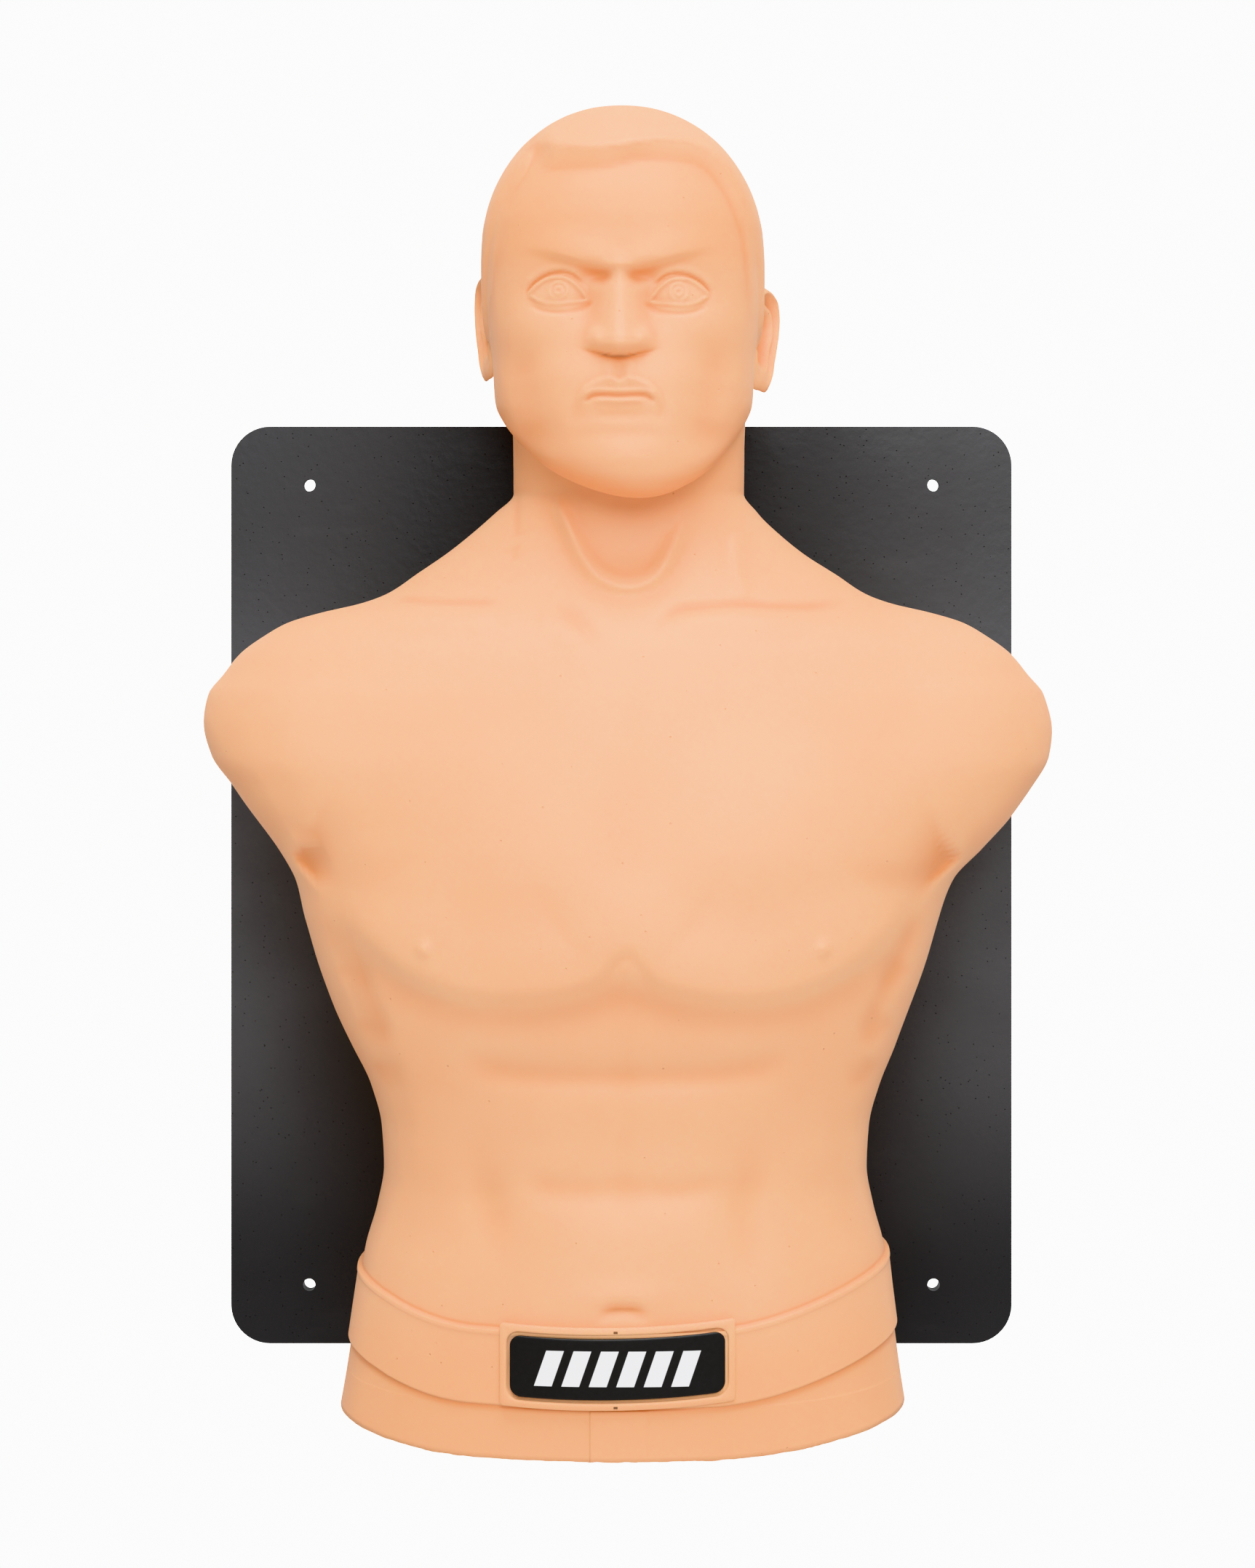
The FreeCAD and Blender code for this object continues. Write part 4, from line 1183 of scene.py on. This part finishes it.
def area_light(name, place, size, power):
    """A soft rectangular lamp at place, turned to the chest."""
    lamp = bpy.data.lights.new(name, "AREA")
    lamp.shape = "RECTANGLE"
    lamp.size, lamp.size_y = size
    lamp.energy = power
    thing = in_scene(name, lamp)
    thing.location = place
    thing.rotation_euler = (LAMP_TARGET - Vector(place)).to_track_quat("-Z", "Y").to_euler()


def set_studio():
    """A bright backdrop, warm light from all around and two soft lamps."""
    scene = bpy.context.scene
    scene.view_settings.view_transform = "Khronos PBR Neutral"
    world = bpy.data.worlds.new("studio")
    scene.world = world
    world.use_nodes = True
    nodes, link = world.node_tree.nodes, world.node_tree.links.new
    background = nodes["Background"]
    path = nodes.new("ShaderNodeLightPath")
    level = nodes.new("ShaderNodeMapRange")
    level.inputs["To Min"].default_value = 0.62
    level.inputs["To Max"].default_value = 2.5
    link(path.outputs["Is Camera Ray"], level.inputs["Value"])
    link(level.outputs["Result"], background.inputs["Strength"])
    warmth = nodes.new("ShaderNodeMix")
    warmth.data_type = "RGBA"
    warmth.inputs[6].default_value = (1, 1, 1, 1)
    warmth.inputs[7].default_value = (1.0, 0.7, 0.48, 1)
    link(path.outputs["Is Diffuse Ray"], warmth.inputs[0])
    link(warmth.outputs[2], background.inputs["Color"])
    area_light("key", (0.3, -2.6, 1.2), (1.4, 1.4), 38)
    area_light("top", (0.1, -1.0, 2.3), (2.2, 1.4), 56)


def lay_floor():
    """A plain pale floor well below the wall-mounted board."""
    bpy.ops.mesh.primitive_plane_add(size=7.4, location=(0, -1.3, -1.3))
    floor = bpy.context.object
    floor.name = "floor"
    paint = plain_finish("floor_paint", (0.80, 0.89, 0.98), (0.84, 0.93, 1.0), 0.6, 3.0)
    floor.data.materials.append(paint)


def set_camera():
    """A camera square to the board, framing the whole mannequin."""
    data = bpy.data.cameras.new("camera")
    data.sensor_fit = "AUTO"
    data.sensor_width = 36.0
    data.lens = 63.47
    data.shift_x = 0.0039
    data.shift_y = -0.0881
    data.clip_end = 50
    camera = in_scene("camera", data)
    camera.location = (0.0, -1.8095, 0.1557)
    camera.rotation_euler = (math.pi / 2, 0, 0)
    bpy.context.scene.camera = camera


set_studio()
lay_floor()
set_camera()
